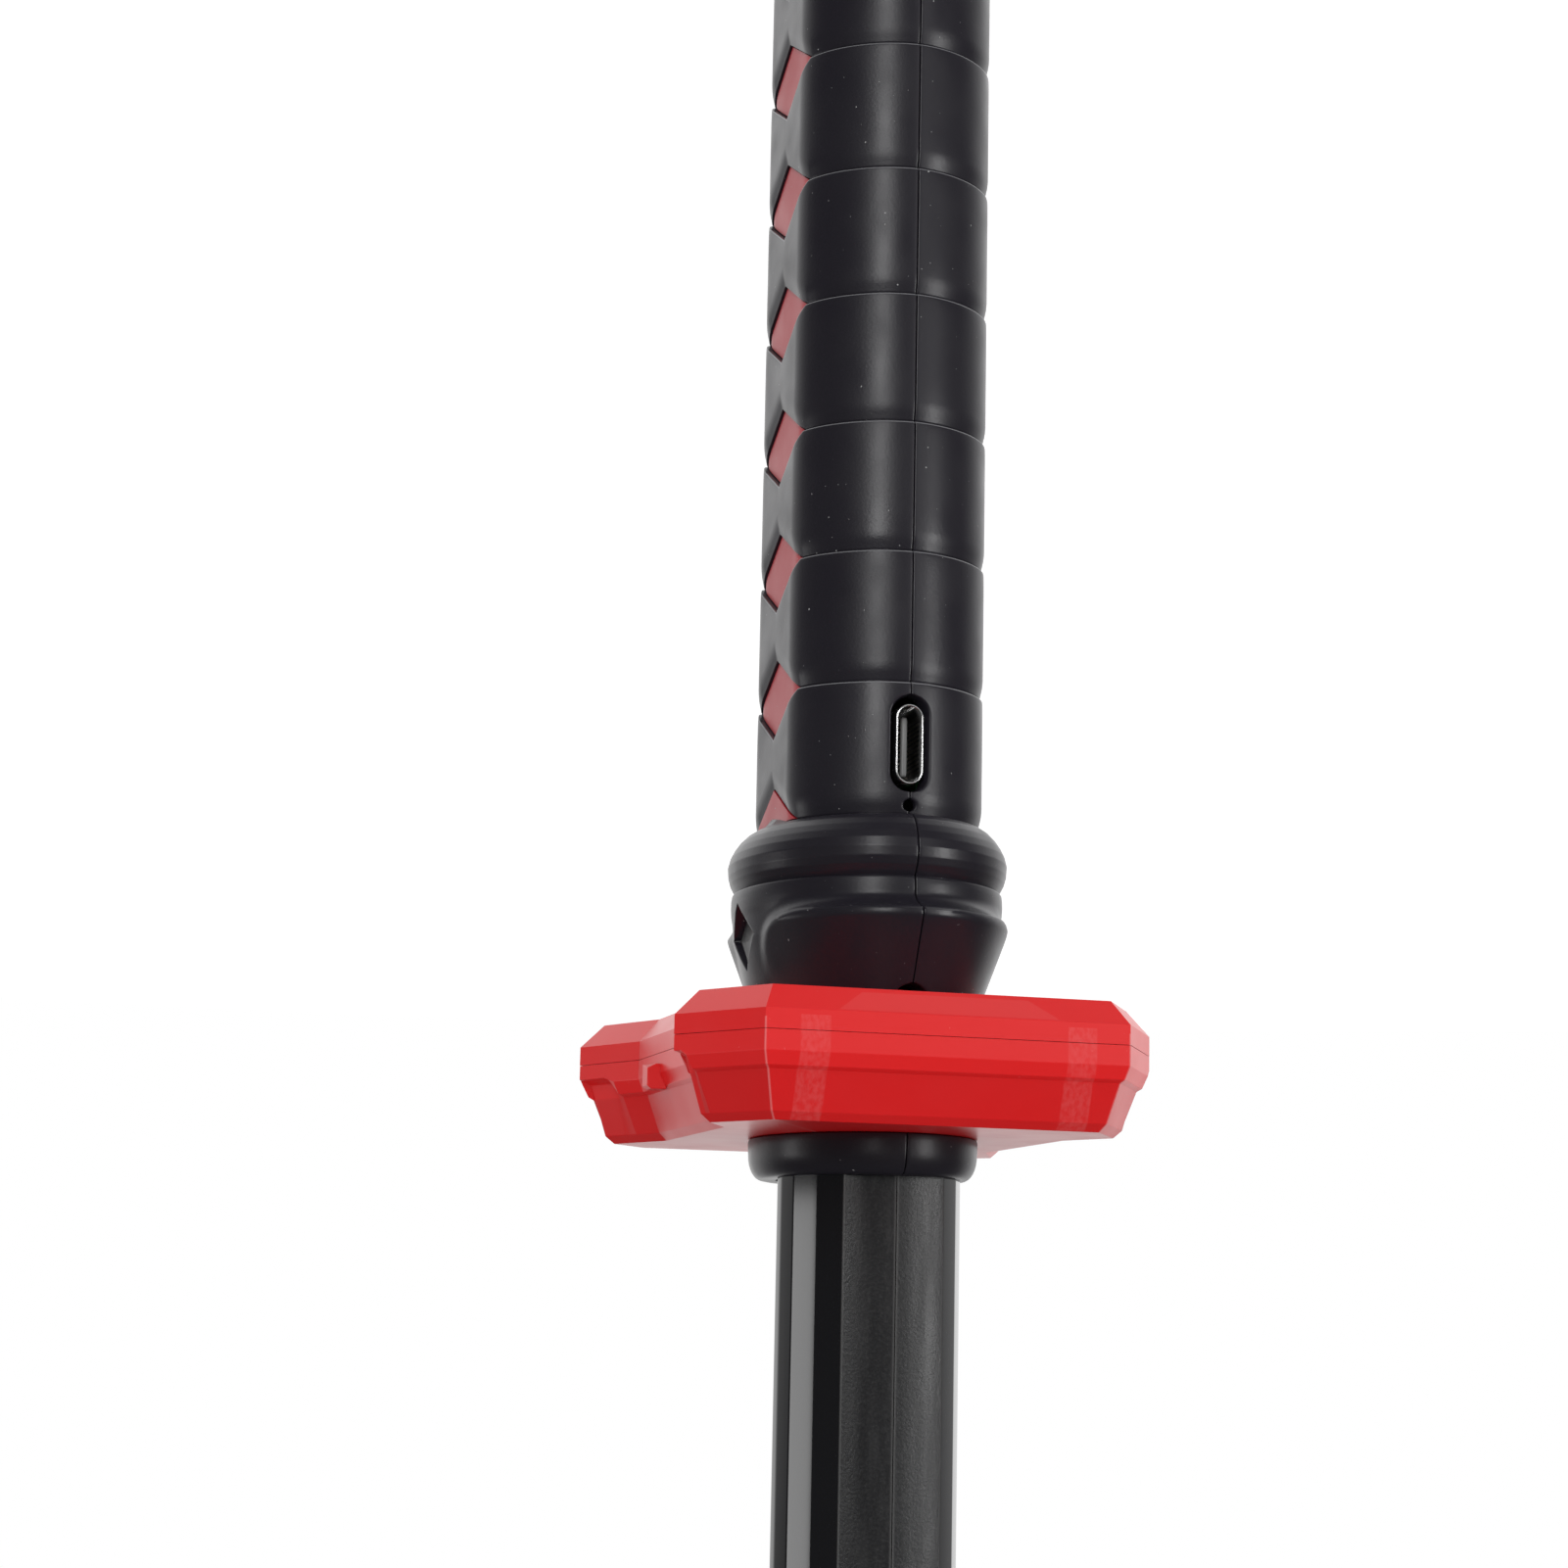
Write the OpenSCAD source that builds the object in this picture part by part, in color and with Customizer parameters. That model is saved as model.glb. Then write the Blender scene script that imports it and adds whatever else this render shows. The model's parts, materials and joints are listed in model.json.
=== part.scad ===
// Rechargeable traffic baton light with a sword-style grip, guard and blade.
// The baton stands on its pommel: Z runs from the pommel to the blade tip,
// -Y is the spine side with the charging socket, and X crosses the two half shells.

/* [Grip] */
// Length of one moulded wrap of the grip
wrap_pitch = 14.7; // [13.5:0.1:16]
// Number of moulded wraps along the grip
wrap_count = 11; // [11:1:14]
// Half width of the grip at its flat sides
grip_x = 11.25; // [11:0.05:13]
// Half depth of the grip from axis to spine
grip_y = 15.8; // [15:0.1:18]
// Half width of the flat on each side of the grip
grip_flat = 5.9; // [4:0.1:7]
// Depth of the groove between two wraps
groove_depth = 0.4; // [0.2:0.05:0.8]
// Wall of the grip shells
grip_wall = 2.0; // [1.6:0.1:2.2]

/* [Diamond inlays] */
// Half width of a diamond across the grip
diamond_y = 8.2; // [6:0.1:8.6]
// Half height of a diamond along the grip
diamond_z = 4.5; // [3:0.1:5.5]
// Depth of a diamond face below the wraps
diamond_sink = 0.6; // [0.4:0.1:0.9]
// Thickness of the grip shell in front of the inlay strip
inlay_cover = 1.2; // [1.1:0.05:1.4]
// Clearance around the inlay strips and diamonds
inlay_gap = 0.1; // [0.05:0.01:0.2]

/* [Collar] */
// Height of the collar from the grip to the guard
collar_h = 20.9; // [20:0.1:24]
// Half width of the collar bulge
collar_x = 15.3; // [14.8:0.1:17]
// Half depth of the collar bulge
collar_y = 19.2; // [18:0.1:22]
// How far the front and rear lobes stand out past the bulge
lobe_reach = 2.0; // [1:0.1:3]
// Half width of the side notch between the lobes, at the guard
notch_y = 5.7; // [5:0.1:7]

/* [Guard] */
// Half width of the guard at its corners
guard_x = 27.2; // [25:0.1:32]
// Half depth of the guard at its front and rear faces
guard_y = 31.2; // [28:0.1:36]
// Half width of the guard's front and rear faces
guard_face_x = 20.2; // [17:0.1:22]
// Distance from the axis to the guard's corners, front to rear
guard_corner_y = 19.8; // [17:0.1:22]
// Half width of the guard at its waist
guard_waist_x = 22.3; // [20:0.1:24]
// Half length of the straight waist
guard_waist_y = 12.6; // [9:0.1:14]
// Thickness of the guard
guard_h = 14.3; // [12:0.1:18]
// Wall of the two guard shells
guard_wall = 2.0; // [1.6:0.1:2.4]
// Clearance between the guard and the neck
guard_fit = 0.1; // [0.05:0.01:0.2]

/* [Blade] */
// Length of the blade past the neck ring
blade_l = 325.6; // [200:0.1:400]
// Distance from the axis to the spine ridge
blade_spine = 13.6; // [13:0.1:14]
// Distance from the axis to the cutting-side edge
blade_edge = 14.6; // [13:0.1:14.8]
// Half width of the blade at its widest
blade_x = 10.1; // [9.5:0.1:10.4]
// Half width of the ribbed spine facets
shoulder_x = 5.5; // [4.5:0.1:6.5]
// Length of the slanted tip
tip_l = 42; // [20:1:60]
// Wall of the blade shells
blade_wall = 1.6; // [1.2:0.1:2]
// Step from the blade down to its root inside the neck
root_step = 1.2; // [1:0.1:1.4]
// Clearance between the blade root and the neck
root_fit = 0.1; // [0.05:0.01:0.2]

/* [Neck] */
// Half width of the neck inside the guard
neck_x = 11.4; // [11.2:0.1:11.8]
// Half depth of the neck inside the guard
neck_y = 15.6; // [15.4:0.1:16]
// Height of the neck ring past the guard
ring_h = 3.5; // [2.5:0.1:5]
// How far the neck ring stands out past the neck
ring_lip = 0.9; // [0.5:0.1:1.4]

/* [Pommel] */
// Height of the pommel cap
pommel_h = 14; // [12:0.5:24]
// How far the pommel stands out past the grip
pommel_lip = 1.2; // [0.8:0.1:2]
// Diameter of the lanyard hole
lanyard_d = 4.5; // [3:0.1:5.5]

/* [Charging socket] */
// Width of the metal socket shell
usb_w = 8.94; // [8.9:0.01:9]
// Thickness of the metal socket shell
usb_t = 3.2; // [3.1:0.01:3.3]
// Depth of the socket shell
usb_depth = 7; // [6.5:0.1:8]
// Distance from the collar to the middle of the socket
usb_offset = 7.85; // [7:0.05:9]
// Depth of the socket mouth below the spine
usb_recess = 1.5; // [1:0.1:1.8]
// Clearance between the socket shell and its cut-out
usb_gap = 0.6; // [0.3:0.05:0.9]
// Wall of the socket shell
usb_wall = 0.3; // [0.25:0.01:0.35]
// Diameter of the charge indicator hole
indicator_d = 1.3; // [1:0.1:2]
// Land between the indicator hole and the collar
indicator_land = 0.4; // [0.2:0.1:1]

/* [Mode button] */
// Half width of the diamond button pocket
pocket_y = 4.3; // [4:0.1:4.6]
// Half height of the diamond button pocket
pocket_z = 3.55; // [3.2:0.05:3.8]
// Depth of the button face below the collar
button_sink = 1.1; // [0.9:0.1:1.4]
// Travel of the mode button
button_travel = 0.8; // [0.4:0.1:1]
// Clearance around the mode button
button_gap = 0.25; // [0.2:0.05:0.4]

/* [Electronics] */
// Diameter of the battery cell
cell_d = 18.2; // [14:0.1:18.3]
// Length of the battery cell
cell_l = 65; // [50:0.5:66]
// Thickness of the main board
board_t = 1.2; // [0.8:0.1:1.6]
// Width of the lamp board in the blade
lamp_board_w = 13; // [8:0.5:15]
// Thickness of the lamp board
lamp_board_t = 1.2; // [0.8:0.1:1.6]
// Number of lamps along each face of the lamp board
lamp_count = 12; // [6:1:20]
// Diameter of an insulated lead
lead_d = 1.2; // [0.8:0.1:1.6]

/* [Fasteners] */
// Thread diameter of the self-tapping screws
screw_d = 2.2; // [1.8:0.1:2.4]
// Head diameter of the self-tapping screws
screw_head_d = 4; // [3.6:0.1:4.2]
// Head height of the self-tapping screws
screw_head_h = 1.6; // [1.2:0.1:2]
// Clearance between a screw and its hole
screw_gap = 0.1; // [0.05:0.01:0.2]
// Wall of a screw boss around the screw's head
boss_wall = 0.9; // [0.7:0.1:1.1]

/* [Hidden] */

// Section curves: points in one quarter, and the power that shapes the grip's nose
quarter_steps = 8;
nose_power = 1.8;
collar_flat = 0.5;

// Places along the axis
grip_bottom = pommel_h;
grip_top = grip_bottom + wrap_count * wrap_pitch;
guard_bottom = grip_top + collar_h;
guard_top = guard_bottom + guard_h;
ring_top = guard_top + ring_h;
tip_z = ring_top + blade_l;
part_span = 2 * tip_z;

// Rolled ends of a wrap, and the end walls that hold the pommel and the blade
roll_short = 0.9;
roll_long = 2.3;
end_wall = 2;
foot_h = 2.2;
foot_gap = 0.15;
ledge_z = guard_bottom - 0.5;
foot_z = ledge_z - foot_gap - foot_h;

// Collar waist sizes follow the bulge
band_drop = 0.4;
groove_drop = 0.9;
foot_drop = 2.1;
cavity_x = collar_x - 3.9;
cavity_y = collar_y - 3.8;

// Guard levels: share of the guard's thickness, and inset from its widest outline
guard_levels = [
    [0, 2.5], [0.21, 0], [0.51, 0], [0.62, 0.6], [0.66, 1.6], [0.965, 3.2], [1, 3.7]
];
guard_split = 0.33;
guard_parting = guard_bottom + guard_split * guard_h;
neck_sleeve = 1.8;
guard_post_x = guard_face_x - 7.5;
guard_post_y = guard_corner_y + 2.2;

// Blade section: distances of its corners from the spine ridge, and its narrow rear edge
shoulder_drop = 1;
bevel_y = 8.4;
flat_y = 10.2;
rear_y = 12;
bevel_drop = 0.4;
blade_rear_x = 3;
blade_rear_drop = 0.6;

// Battery bay between the first two screw bosses
boss_r = screw_head_d / 2 + boss_wall;
bay_gap = 0.6;
contact_t = 0.5;
cell_z = grip_bottom + wrap_pitch / 2 + boss_r + bay_gap + contact_t;
cell_top = cell_z + cell_l;
second_wrap = ceil((cell_top + contact_t + bay_gap + boss_r - grip_bottom) / wrap_pitch - 0.5);
third_wrap = second_wrap + 2;
last_wrap = wrap_count - 1;
side_boss_y = grip_y - 6.2;
screw_places = [
    [0, wrap_middle(0)], [0, wrap_middle(second_wrap)],
    [side_boss_y, wrap_middle(third_wrap)], [side_boss_y, wrap_middle(last_wrap)]
];
rib_t = 1.6;
rib_shares = [0.2, 0.8];
rib_clear = 0.5;

// Main board: its upper face carries the charging socket and the switch
board_x = -usb_t / 2;
board_z0 = wrap_middle(second_wrap) + boss_r + 1;
board_z1 = guard_bottom - 4.4;
board_y0 = -grip_y + grip_wall + 1.2;
board_y1 = side_boss_y - boss_r - 0.6;
board_post_y = board_y1 - 3.2;
board_post_places = [wrap_middle(second_wrap + 1), wrap_middle(last_wrap)];
board_post_r = 1.9;
board_screw_d = 1.6;
board_head_r = 1.5;
board_head_h = 1.2;
post_hole_x = -grip_x + 3.6;
screw_slack = 0.5;

// Control chip: its size, and its place on the board from the board's lower corner
chip_size = [1.4, 5, 6];
chip_y = 6;
chip_z = 18;

// Land between the cut end diamonds and the pommel or the collar
diamond_land = 0.5;

// Half width of an inlay strip, past the side corners of its diamonds
strip_y = diamond_y + 0.6;

// Round columns that pass through an inlay strip: distance from the axis, height, radius
screw_columns = [for (p = screw_places) [p[0], p[1], boss_r]];
post_columns = [for (z = board_post_places) [board_post_y, z, board_post_r]];

// Mode button
button_z = grip_top + 0.588 * collar_h;
pad_x = collar_x - 3.8;
button_face_x = collar_x - 0.7 - button_sink;
button_flange = 1;
flange_grow = 1.1;
seat_gap = 0.05;
stem_w = 4;
switch_w = 6;
switch_h = 3.5;
switch_top = board_x + switch_h;
plunger_d = 3;
plunger_gap = 0.3;
plunger_end = switch_top - 0.7;
stem_end = switch_top + 3;

// Lamp board in the blade
lamp_z0 = ring_top - 8;
lamp_z1 = tip_z - tip_l - 8;
lamp_y = -2;
lamp_w = 3.5;
lamp_h = 2.8;
lamp_t = 1.4;
lamp_start = 8.5;
lamp_stop = 7.5;
lamp_ribs = 4;
lead_x = board_x - board_t / 2;
lead_y = grip_y - grip_wall - lead_d;

rubber_black = [0.13, 0.13, 0.14];
gloss_black = [0.07, 0.07, 0.08];
guard_red = [0.82, 0.1, 0.1];
inlay_red = [0.72, 0.12, 0.13];
steel = [0.72, 0.72, 0.74];

function wrap_middle(i) = grip_bottom + (i + 0.5) * wrap_pitch;

// Unit normal that points into a counter-clockwise outline, on the edge from a to b
function inward(a, b) = [a[1] - b[1], b[0] - a[0]] / norm(b - a);

// Outline moved inwards by d, with mitred corners; a negative d grows it
function inset(pts, d) = [
    for (i = [0:len(pts) - 1])
        let (n = len(pts), p = pts[i])
        let (u = inward(pts[(i + n - 1) % n], p), v = inward(p, pts[(i + 1) % n]))
        p + (u + v) * d / (1 + u * v)
];

// Quarter of an oval with flat sides: a power of 2 gives an ellipse past the flat
function oval_quarter(hx, hy, flat, power) = [
    for (i = [0:quarter_steps])
        let (a = 90 * i / quarter_steps, e = 2 / power)
        [hx * pow(cos(a), e), flat + (hy - flat) * pow(sin(a), e)]
];

function mirror_points(pts, sx, sy) = [for (p = pts) [sx * p[0], sy * p[1]]];
function backwards(pts, from) = [for (i = [from:-1:0]) pts[i]];

function oval(hx, hy, flat = collar_flat, power = 2) =
    let (q = oval_quarter(hx, hy, flat, power))
    concat(
        q, mirror_points(backwards(q, quarter_steps - 1), -1, 1),
        mirror_points(q, -1, -1), mirror_points(backwards(q, quarter_steps - 1), 1, -1)
    );

function ring_at(pts, z) = [for (p = pts) [p[0], p[1], z]];

grip_section = oval(grip_x, grip_y, grip_flat, nose_power);
neck_section = oval(neck_x, neck_y);

guard_quarter = [
    [guard_waist_x, guard_waist_y], [guard_x, guard_corner_y], [guard_face_x, guard_y]
];
guard_outline = concat(
    guard_quarter, mirror_points(backwards(guard_quarter, 2), -1, 1),
    mirror_points(guard_quarter, -1, -1), mirror_points(backwards(guard_quarter, 2), 1, -1)
);

blade_half = [
    [0, -blade_spine], [shoulder_x, -blade_spine + shoulder_drop],
    [blade_x - bevel_drop, -blade_spine + bevel_y],
    [blade_x, -blade_spine + flat_y], [blade_x, -blade_spine + rear_y],
    [blade_rear_x, blade_edge - blade_rear_drop], [0, blade_edge]
];
blade_section = concat(blade_half, mirror_points(backwards(blade_half, 5), -1, 1));
blade_outline = [for (i = [0:len(blade_section) - 2]) blade_section[i]];

// Skin of the whole handle, as rings of one point count from pommel to neck ring
wrap_rings = [
    for (i = [0:wrap_count - 1])
        for (s = [
            [0, groove_depth], [roll_short, 0.15 * groove_depth], [roll_long, 0],
            [wrap_pitch - roll_long, 0], [wrap_pitch - roll_short, 0.35 * groove_depth]
        ])
        ring_at(inset(grip_section, s[1]), grip_bottom + i * wrap_pitch + s[0])
];

// Collar stations: share of the collar's height, and drop from the bulge in X and Y
collar_stations = [
    [0, 3.2, 2.6], [0.04, 1.9, 1.6], [0.1, 0.7, 0.6], [0.187, 0, 0], [0.26, 0.2, 0.2],
    [0.325, groove_drop, 1.2], [0.345, groove_drop, 1.2], [0.41, band_drop, 1],
    [0.48, 0.6, 1.2], [0.6, 0.8, 1.7], [1, foot_drop, 2.2]
];
collar_rings = [
    for (s = collar_stations)
        ring_at(oval(collar_x - s[1], collar_y - s[2]), grip_top + s[0] * collar_h)
];
neck_rings = [
    ring_at(neck_section, guard_bottom),
    ring_at(neck_section, guard_top),
    ring_at(inset(neck_section, -ring_lip), guard_top),
    ring_at(inset(neck_section, -ring_lip), guard_top + 0.45 * ring_h),
    ring_at(inset(neck_section, 0.25 - ring_lip), guard_top + 0.8 * ring_h),
    ring_at(inset(neck_section, 1 - ring_lip), ring_top)
];
handle_rings = concat(
    wrap_rings, [ring_at(inset(grip_section, groove_depth), grip_top)], collar_rings, neck_rings
);

// Lobe stations: share of the collar's height, and drop from the lobe's rim in X and Y
lobe_stations = [
    [0.46, 1.8, 4], [0.507, 0.7, 0.7], [0.54, 0.2, 0.15], [0.59, 0, 0], [0.98, 1.8, 1.9],
    [1, 1.9, 2]
];
lobe_rings = [
    for (s = lobe_stations)
        ring_at(
            oval(collar_x - 0.1 - s[1], collar_y + lobe_reach - s[2]),
            grip_top + s[0] * collar_h
        )
];

// Closed solid through a list of rings that share one point count
module loft(rings) {
    n = len(rings[0]);
    last = len(rings) - 1;
    sides = [
        for (k = [0:last - 1])
            for (i = [0:n - 1])
                [k * n + i, (k + 1) * n + i, (k + 1) * n + (i + 1) % n, k * n + (i + 1) % n]
    ];
    polyhedron(
        points = [for (r = rings) for (p = r) p],
        faces = concat([[for (i = [0:n - 1]) i]], sides, [[for (i = [n - 1:-1:0]) last * n + i]])
    );
}

// Prism of an outline between two heights
module prism(pts, z0, z1) {
    translate([0, 0, z0]) linear_extrude(z1 - z0) polygon(pts);
}

// Everything on one side of the seam: side 1 is +X, side -1 is -X
module half_space(side) {
    translate([side * part_span / 4, 0, tip_z / 2])
        cube([part_span / 2, part_span / 2, part_span], center = true);
}

// Diamond prism along X, centred on a height, between two distances from the axis
module diamond_bar(half_y, half_z, z, x0, x1) {
    translate([x0, 0, z]) rotate([90, 0, 90]) linear_extrude(x1 - x0)
        polygon([[half_y, 0], [0, half_z], [-half_y, 0], [0, -half_z]]);
}

// Cylinder along X between two distances from the axis
module x_bar(r, x0, x1, y, z) {
    translate([x0, y, z]) rotate([0, 90, 0]) cylinder(r = r, h = x1 - x0, $fn = 40);
}

// Slot with round ends along Z, cut along Y between two depths
module z_slot(width, height, y0, y1, z) {
    r = width / 2;
    translate([-r, y0, z - height / 2 + r]) cube([width, y1 - y0, height - width]);
    for (s = [-1, 1])
        translate([0, y0, z + s * (height / 2 - r)]) rotate([-90, 0, 0])
            cylinder(r = r, h = y1 - y0, $fn = 40);
}

// Lobes of the collar at the spine and the edge side, parted by a notch on each flat side
module collar_lobes() {
    notch_top = grip_top + 0.5 * collar_h;
    difference() {
        loft(lobe_rings);
        for (side = [-1, 1])
            translate([side * collar_x, 0, 0]) rotate([90, 0, 90])
                linear_extrude(2 * collar_x, center = true) polygon([
                    [-notch_y, guard_bottom + 1], [-notch_y, guard_bottom - 0.35 * collar_h],
                    [-1.15 * notch_y, guard_bottom - 0.42 * collar_h], [-1.6 * notch_y, notch_top],
                    [-2.4 * notch_y, notch_top - 0.12 * collar_h],
                    [2.4 * notch_y, notch_top - 0.12 * collar_h], [1.6 * notch_y, notch_top],
                    [1.15 * notch_y, guard_bottom - 0.42 * collar_h],
                    [notch_y, guard_bottom - 0.35 * collar_h], [notch_y, guard_bottom + 1]
                ]);
    }
}

// Room inside the handle, and the ways through to the pommel and the blade
module handle_cavity() {
    prism(inset(grip_section, grip_wall), grip_bottom + end_wall, grip_top + 3);
    prism(inset(grip_section, grip_wall + 2), grip_bottom - 1, grip_bottom + end_wall + 1);
    prism(oval(cavity_x, cavity_y), grip_top + 2.5, ledge_z);
    prism(inset(blade_outline, root_step - root_fit), ledge_z - 1, ring_top + 1);
}

// Band of the grip section on one side, between two depths below the wraps
module side_band(side, depth0, depth1, half_y, z0, z1) {
    intersection() {
        difference() {
            prism(inset(grip_section, depth0), z0, z1);
            prism(inset(grip_section, depth1), z0 - 1, z1 + 1);
        }
        translate([side * grip_x, 0, (z0 + z1) / 2])
            cube([grip_x, 2 * half_y, z1 - z0 + 2], center = true);
    }
}

// Diamonds of one side, one on each groove, the end ones cut by the pommel and the collar
module diamond_row(side, grow, x0, x1) {
    intersection() {
        union() {
            for (i = [0:wrap_count])
                diamond_bar(
                    diamond_y + grow, diamond_z + grow, grip_bottom + i * wrap_pitch,
                    side > 0 ? x0 : -x1, side > 0 ? x1 : -x0
                );
        }
        translate([-grip_x * 2, -grip_y, grip_bottom + diamond_land - grow])
            cube([4 * grip_x, 2 * grip_y, grip_top - grip_bottom - 2 * diamond_land + 2 * grow]);
    }
}

// Thin rib with a round seat for the battery cell
module cell_ribs() {
    for (share = rib_shares)
        difference() {
            prism(
                inset(grip_section, grip_wall - 0.5),
                cell_z + share * cell_l - rib_t / 2, cell_z + share * cell_l + rib_t / 2
            );
            translate([0, 0, cell_z]) cylinder(d = cell_d + 0.2, h = cell_l, $fn = 64);
            translate([-grip_x, -strip_y - rib_clear, cell_z])
                cube([2 * grip_x, 2 * (strip_y + rib_clear), cell_l]);
            translate([lead_x, lead_y, cell_z]) cylinder(d = lead_d + 0.8, h = cell_l, $fn = 24);
        }
}

// Columns across the grip, for the screws and the main board
module columns(list, grow, x0, x1) {
    for (c = list) x_bar(c[2] + grow, x0, x1, c[0], c[1]);
}

// Screw bosses and board posts of one half shell, from its wall to the seam
module shell_columns(side) {
    intersection() {
        union() {
            columns(screw_columns, 0, -grip_x, grip_x);
            if (side < 0)
                columns(post_columns, 0, -grip_x, board_x - board_t);
        }
        prism(inset(grip_section, inlay_cover / 2), grip_bottom, grip_top);
        half_space(side);
    }
}

// Slot in one half shell for its inlay strip, with a window for each diamond
module inlay_slot(side) {
    side_band(
        side, inlay_cover - inlay_gap, grip_wall + 0.5, strip_y + inlay_gap,
        grip_bottom + end_wall - inlay_gap, grip_top - end_wall + inlay_gap
    );
    diamond_row(side, inlay_gap, grip_x - 3, grip_x + 1);
}

// Diamond pocket of one half shell: open to the button on +X, blind on -X
module button_pocket(side) {
    if (side > 0) {
        diamond_bar(pocket_y, pocket_z, button_z, pad_x - 1, collar_x + 1);
        translate([pad_x / 2, 0, button_z])
            cube([
                pad_x, 2 * (pocket_y + flange_grow + button_gap),
                2 * (pocket_z + flange_grow + button_gap)
            ], center = true);
    } else {
        diamond_bar(pocket_y, pocket_z, button_z, -collar_x - 1, -button_face_x);
    }
}

// Cut-outs on the spine: charging socket, indicator hole and the notch at the collar's foot
module spine_cuts() {
    z_slot(
        usb_t + 2 * usb_gap, usb_w + 3 * usb_gap, -grip_y - 1, -grip_y + grip_wall + 1,
        grip_top - usb_offset
    );
    translate([0, -grip_y - 1, indicator_z()]) rotate([-90, 0, 0])
        cylinder(d = indicator_d, h = grip_wall + 2, $fn = 24);
    translate([0, -collar_y - lobe_reach, guard_bottom + 1.5]) rotate([-90, 0, 0])
        cylinder(r = 2, h = 3.2, $fn = 32);
}

// Screw holes of one half shell; the screws enter from the -X side
module shell_holes(side) {
    for (p = screw_places) {
        x_bar(screw_d / 2 + (side < 0 ? screw_gap : 0), -grip_x - 1, screw_end(), p[0], p[1]);
        if (side < 0)
            x_bar(
                screw_head_d / 2 + screw_gap, -grip_x - 1, head_x(p[0]) + screw_head_h,
                p[0], p[1]
            );
    }
    if (side < 0)
        for (z = board_post_places)
            x_bar(board_screw_d / 2, post_hole_x, board_x, board_post_y, z);
}

// Hollow half of the handle, before its cut-outs
module half_handle(side) {
    difference() {
        intersection() {
            union() {
                loft(handle_rings);
                collar_lobes();
            }
            half_space(side);
        }
        handle_cavity();
    }
    intersection() {
        cell_ribs();
        half_space(side);
    }
}

// One half shell of grip, collar, neck and ring
module grip_shell(side) {
    difference() {
        union() {
            difference() {
                half_handle(side);
                inlay_slot(side);
                button_pocket(side);
                spine_cuts();
            }
            shell_columns(side);
        }
        shell_holes(side);
    }
}

function strip_columns(side) = side < 0 ? concat(screw_columns, post_columns) : screw_columns;
function indicator_z() = grip_top - indicator_land - indicator_d / 2;
function screw_end() = grip_x - 5;

// Seat plane of a screw head: heads away from the middle sit where the grip is narrower
function head_x(y) = -grip_x + 1.4 + 0.13 * abs(y);

module self_tapper(y, z) {
    x_bar(screw_head_d / 2, head_x(y), head_x(y) + screw_head_h, y, z);
    x_bar(screw_d / 2, head_x(y), screw_end() - screw_slack, y, z);
}

module grip_shell_left() {
    color(rubber_black) grip_shell(-1);
}

module grip_shell_right() {
    color(rubber_black) grip_shell(1);
}

module inlay_strip(side) {
    z0 = grip_bottom + end_wall;
    z1 = grip_top - end_wall;
    difference() {
        union() {
            side_band(side, inlay_cover, grip_wall - 0.05, strip_y, z0, z1);
            intersection() {
                side_band(side, diamond_sink, inlay_cover + 0.2, diamond_y + 1, grip_bottom, grip_top);
                diamond_row(side, 0, grip_x - 3, grip_x + 1);
            }
        }
        columns(strip_columns(side), inlay_gap, -grip_x, grip_x);
    }
}

module inlay_strip_left() {
    color(inlay_red) inlay_strip(-1);
}

module inlay_strip_right() {
    color(inlay_red) inlay_strip(1);
}

// Whole guard without its hole, as rings from the grip side to the blade side
module guard_form() {
    loft([for (l = guard_levels) ring_at(inset(guard_outline, l[1]), guard_bottom + l[0] * guard_h)]);
}

// Room inside the guard shells, around the sleeve that grips the neck
module guard_room(z0, z1) {
    difference() {
        prism(inset(guard_outline, guard_levels[5][1] + guard_wall), z0, z1);
        prism(inset(neck_section, -guard_fit - neck_sleeve), z0 - 1, z1 + 1);
        for (sx = [-1, 1])
            for (sy = [-1, 1])
                translate([sx * guard_post_x, sy * guard_post_y, z0 - 1])
                    cylinder(r = boss_r, h = z1 - z0 + 2, $fn = 40);
    }
}

module guard_shell(z0, z1, room0, room1) {
    difference() {
        intersection() {
            guard_form();
            translate([0, 0, (z0 + z1) / 2]) cube([4 * guard_x, 4 * guard_y, z1 - z0], center = true);
        }
        prism(inset(neck_section, -guard_fit), guard_bottom - 1, guard_top + 1);
        guard_room(room0, room1);
        for (sx = [-1, 1])
            for (sy = [-1, 1])
                translate([sx * guard_post_x, sy * guard_post_y, 0]) {
                    translate([0, 0, guard_bottom - 1])
                        cylinder(r = screw_head_d / 2 + screw_gap, h = 1.4 + screw_head_h, $fn = 40);
                    translate([0, 0, guard_bottom])
                        cylinder(
                            r = screw_d / 2 + (z0 < guard_parting ? screw_gap : 0),
                            h = guard_h - guard_wall - 1, $fn = 40
                        );
                }
    }
}

module guard_upper() {
    color(guard_red)
        guard_shell(guard_bottom, guard_parting, guard_bottom + guard_wall + 0.6, guard_parting + 1);
}

module guard_lower() {
    color(guard_red) guard_shell(guard_parting, guard_top, guard_parting - 1, guard_top - guard_wall);
}

module guard_screws() {
    color(steel)
        for (sx = [-1, 1])
            for (sy = [-1, 1])
                translate([sx * guard_post_x, sy * guard_post_y, guard_bottom + 0.4]) {
                    cylinder(r = screw_head_d / 2, h = screw_head_h, $fn = 40);
                    cylinder(r = screw_d / 2, h = guard_h - guard_wall - 2.2, $fn = 40);
                }
}

// Part of the blade below its slanted tip; drop lowers the slope for the inner room
module below_tip(drop) {
    translate([-2 * blade_x, 0, 0]) rotate([90, 0, 90]) linear_extrude(4 * blade_x) polygon([
        [-2 * blade_spine, 0], [2 * blade_edge, 0],
        [2 * blade_edge, tip_z - tip_l - drop - tip_slope() * blade_edge],
        [-2 * blade_spine, tip_z - drop + tip_slope() * blade_spine]
    ]);
}

function tip_slope() = tip_l / (blade_spine + blade_edge);

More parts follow.
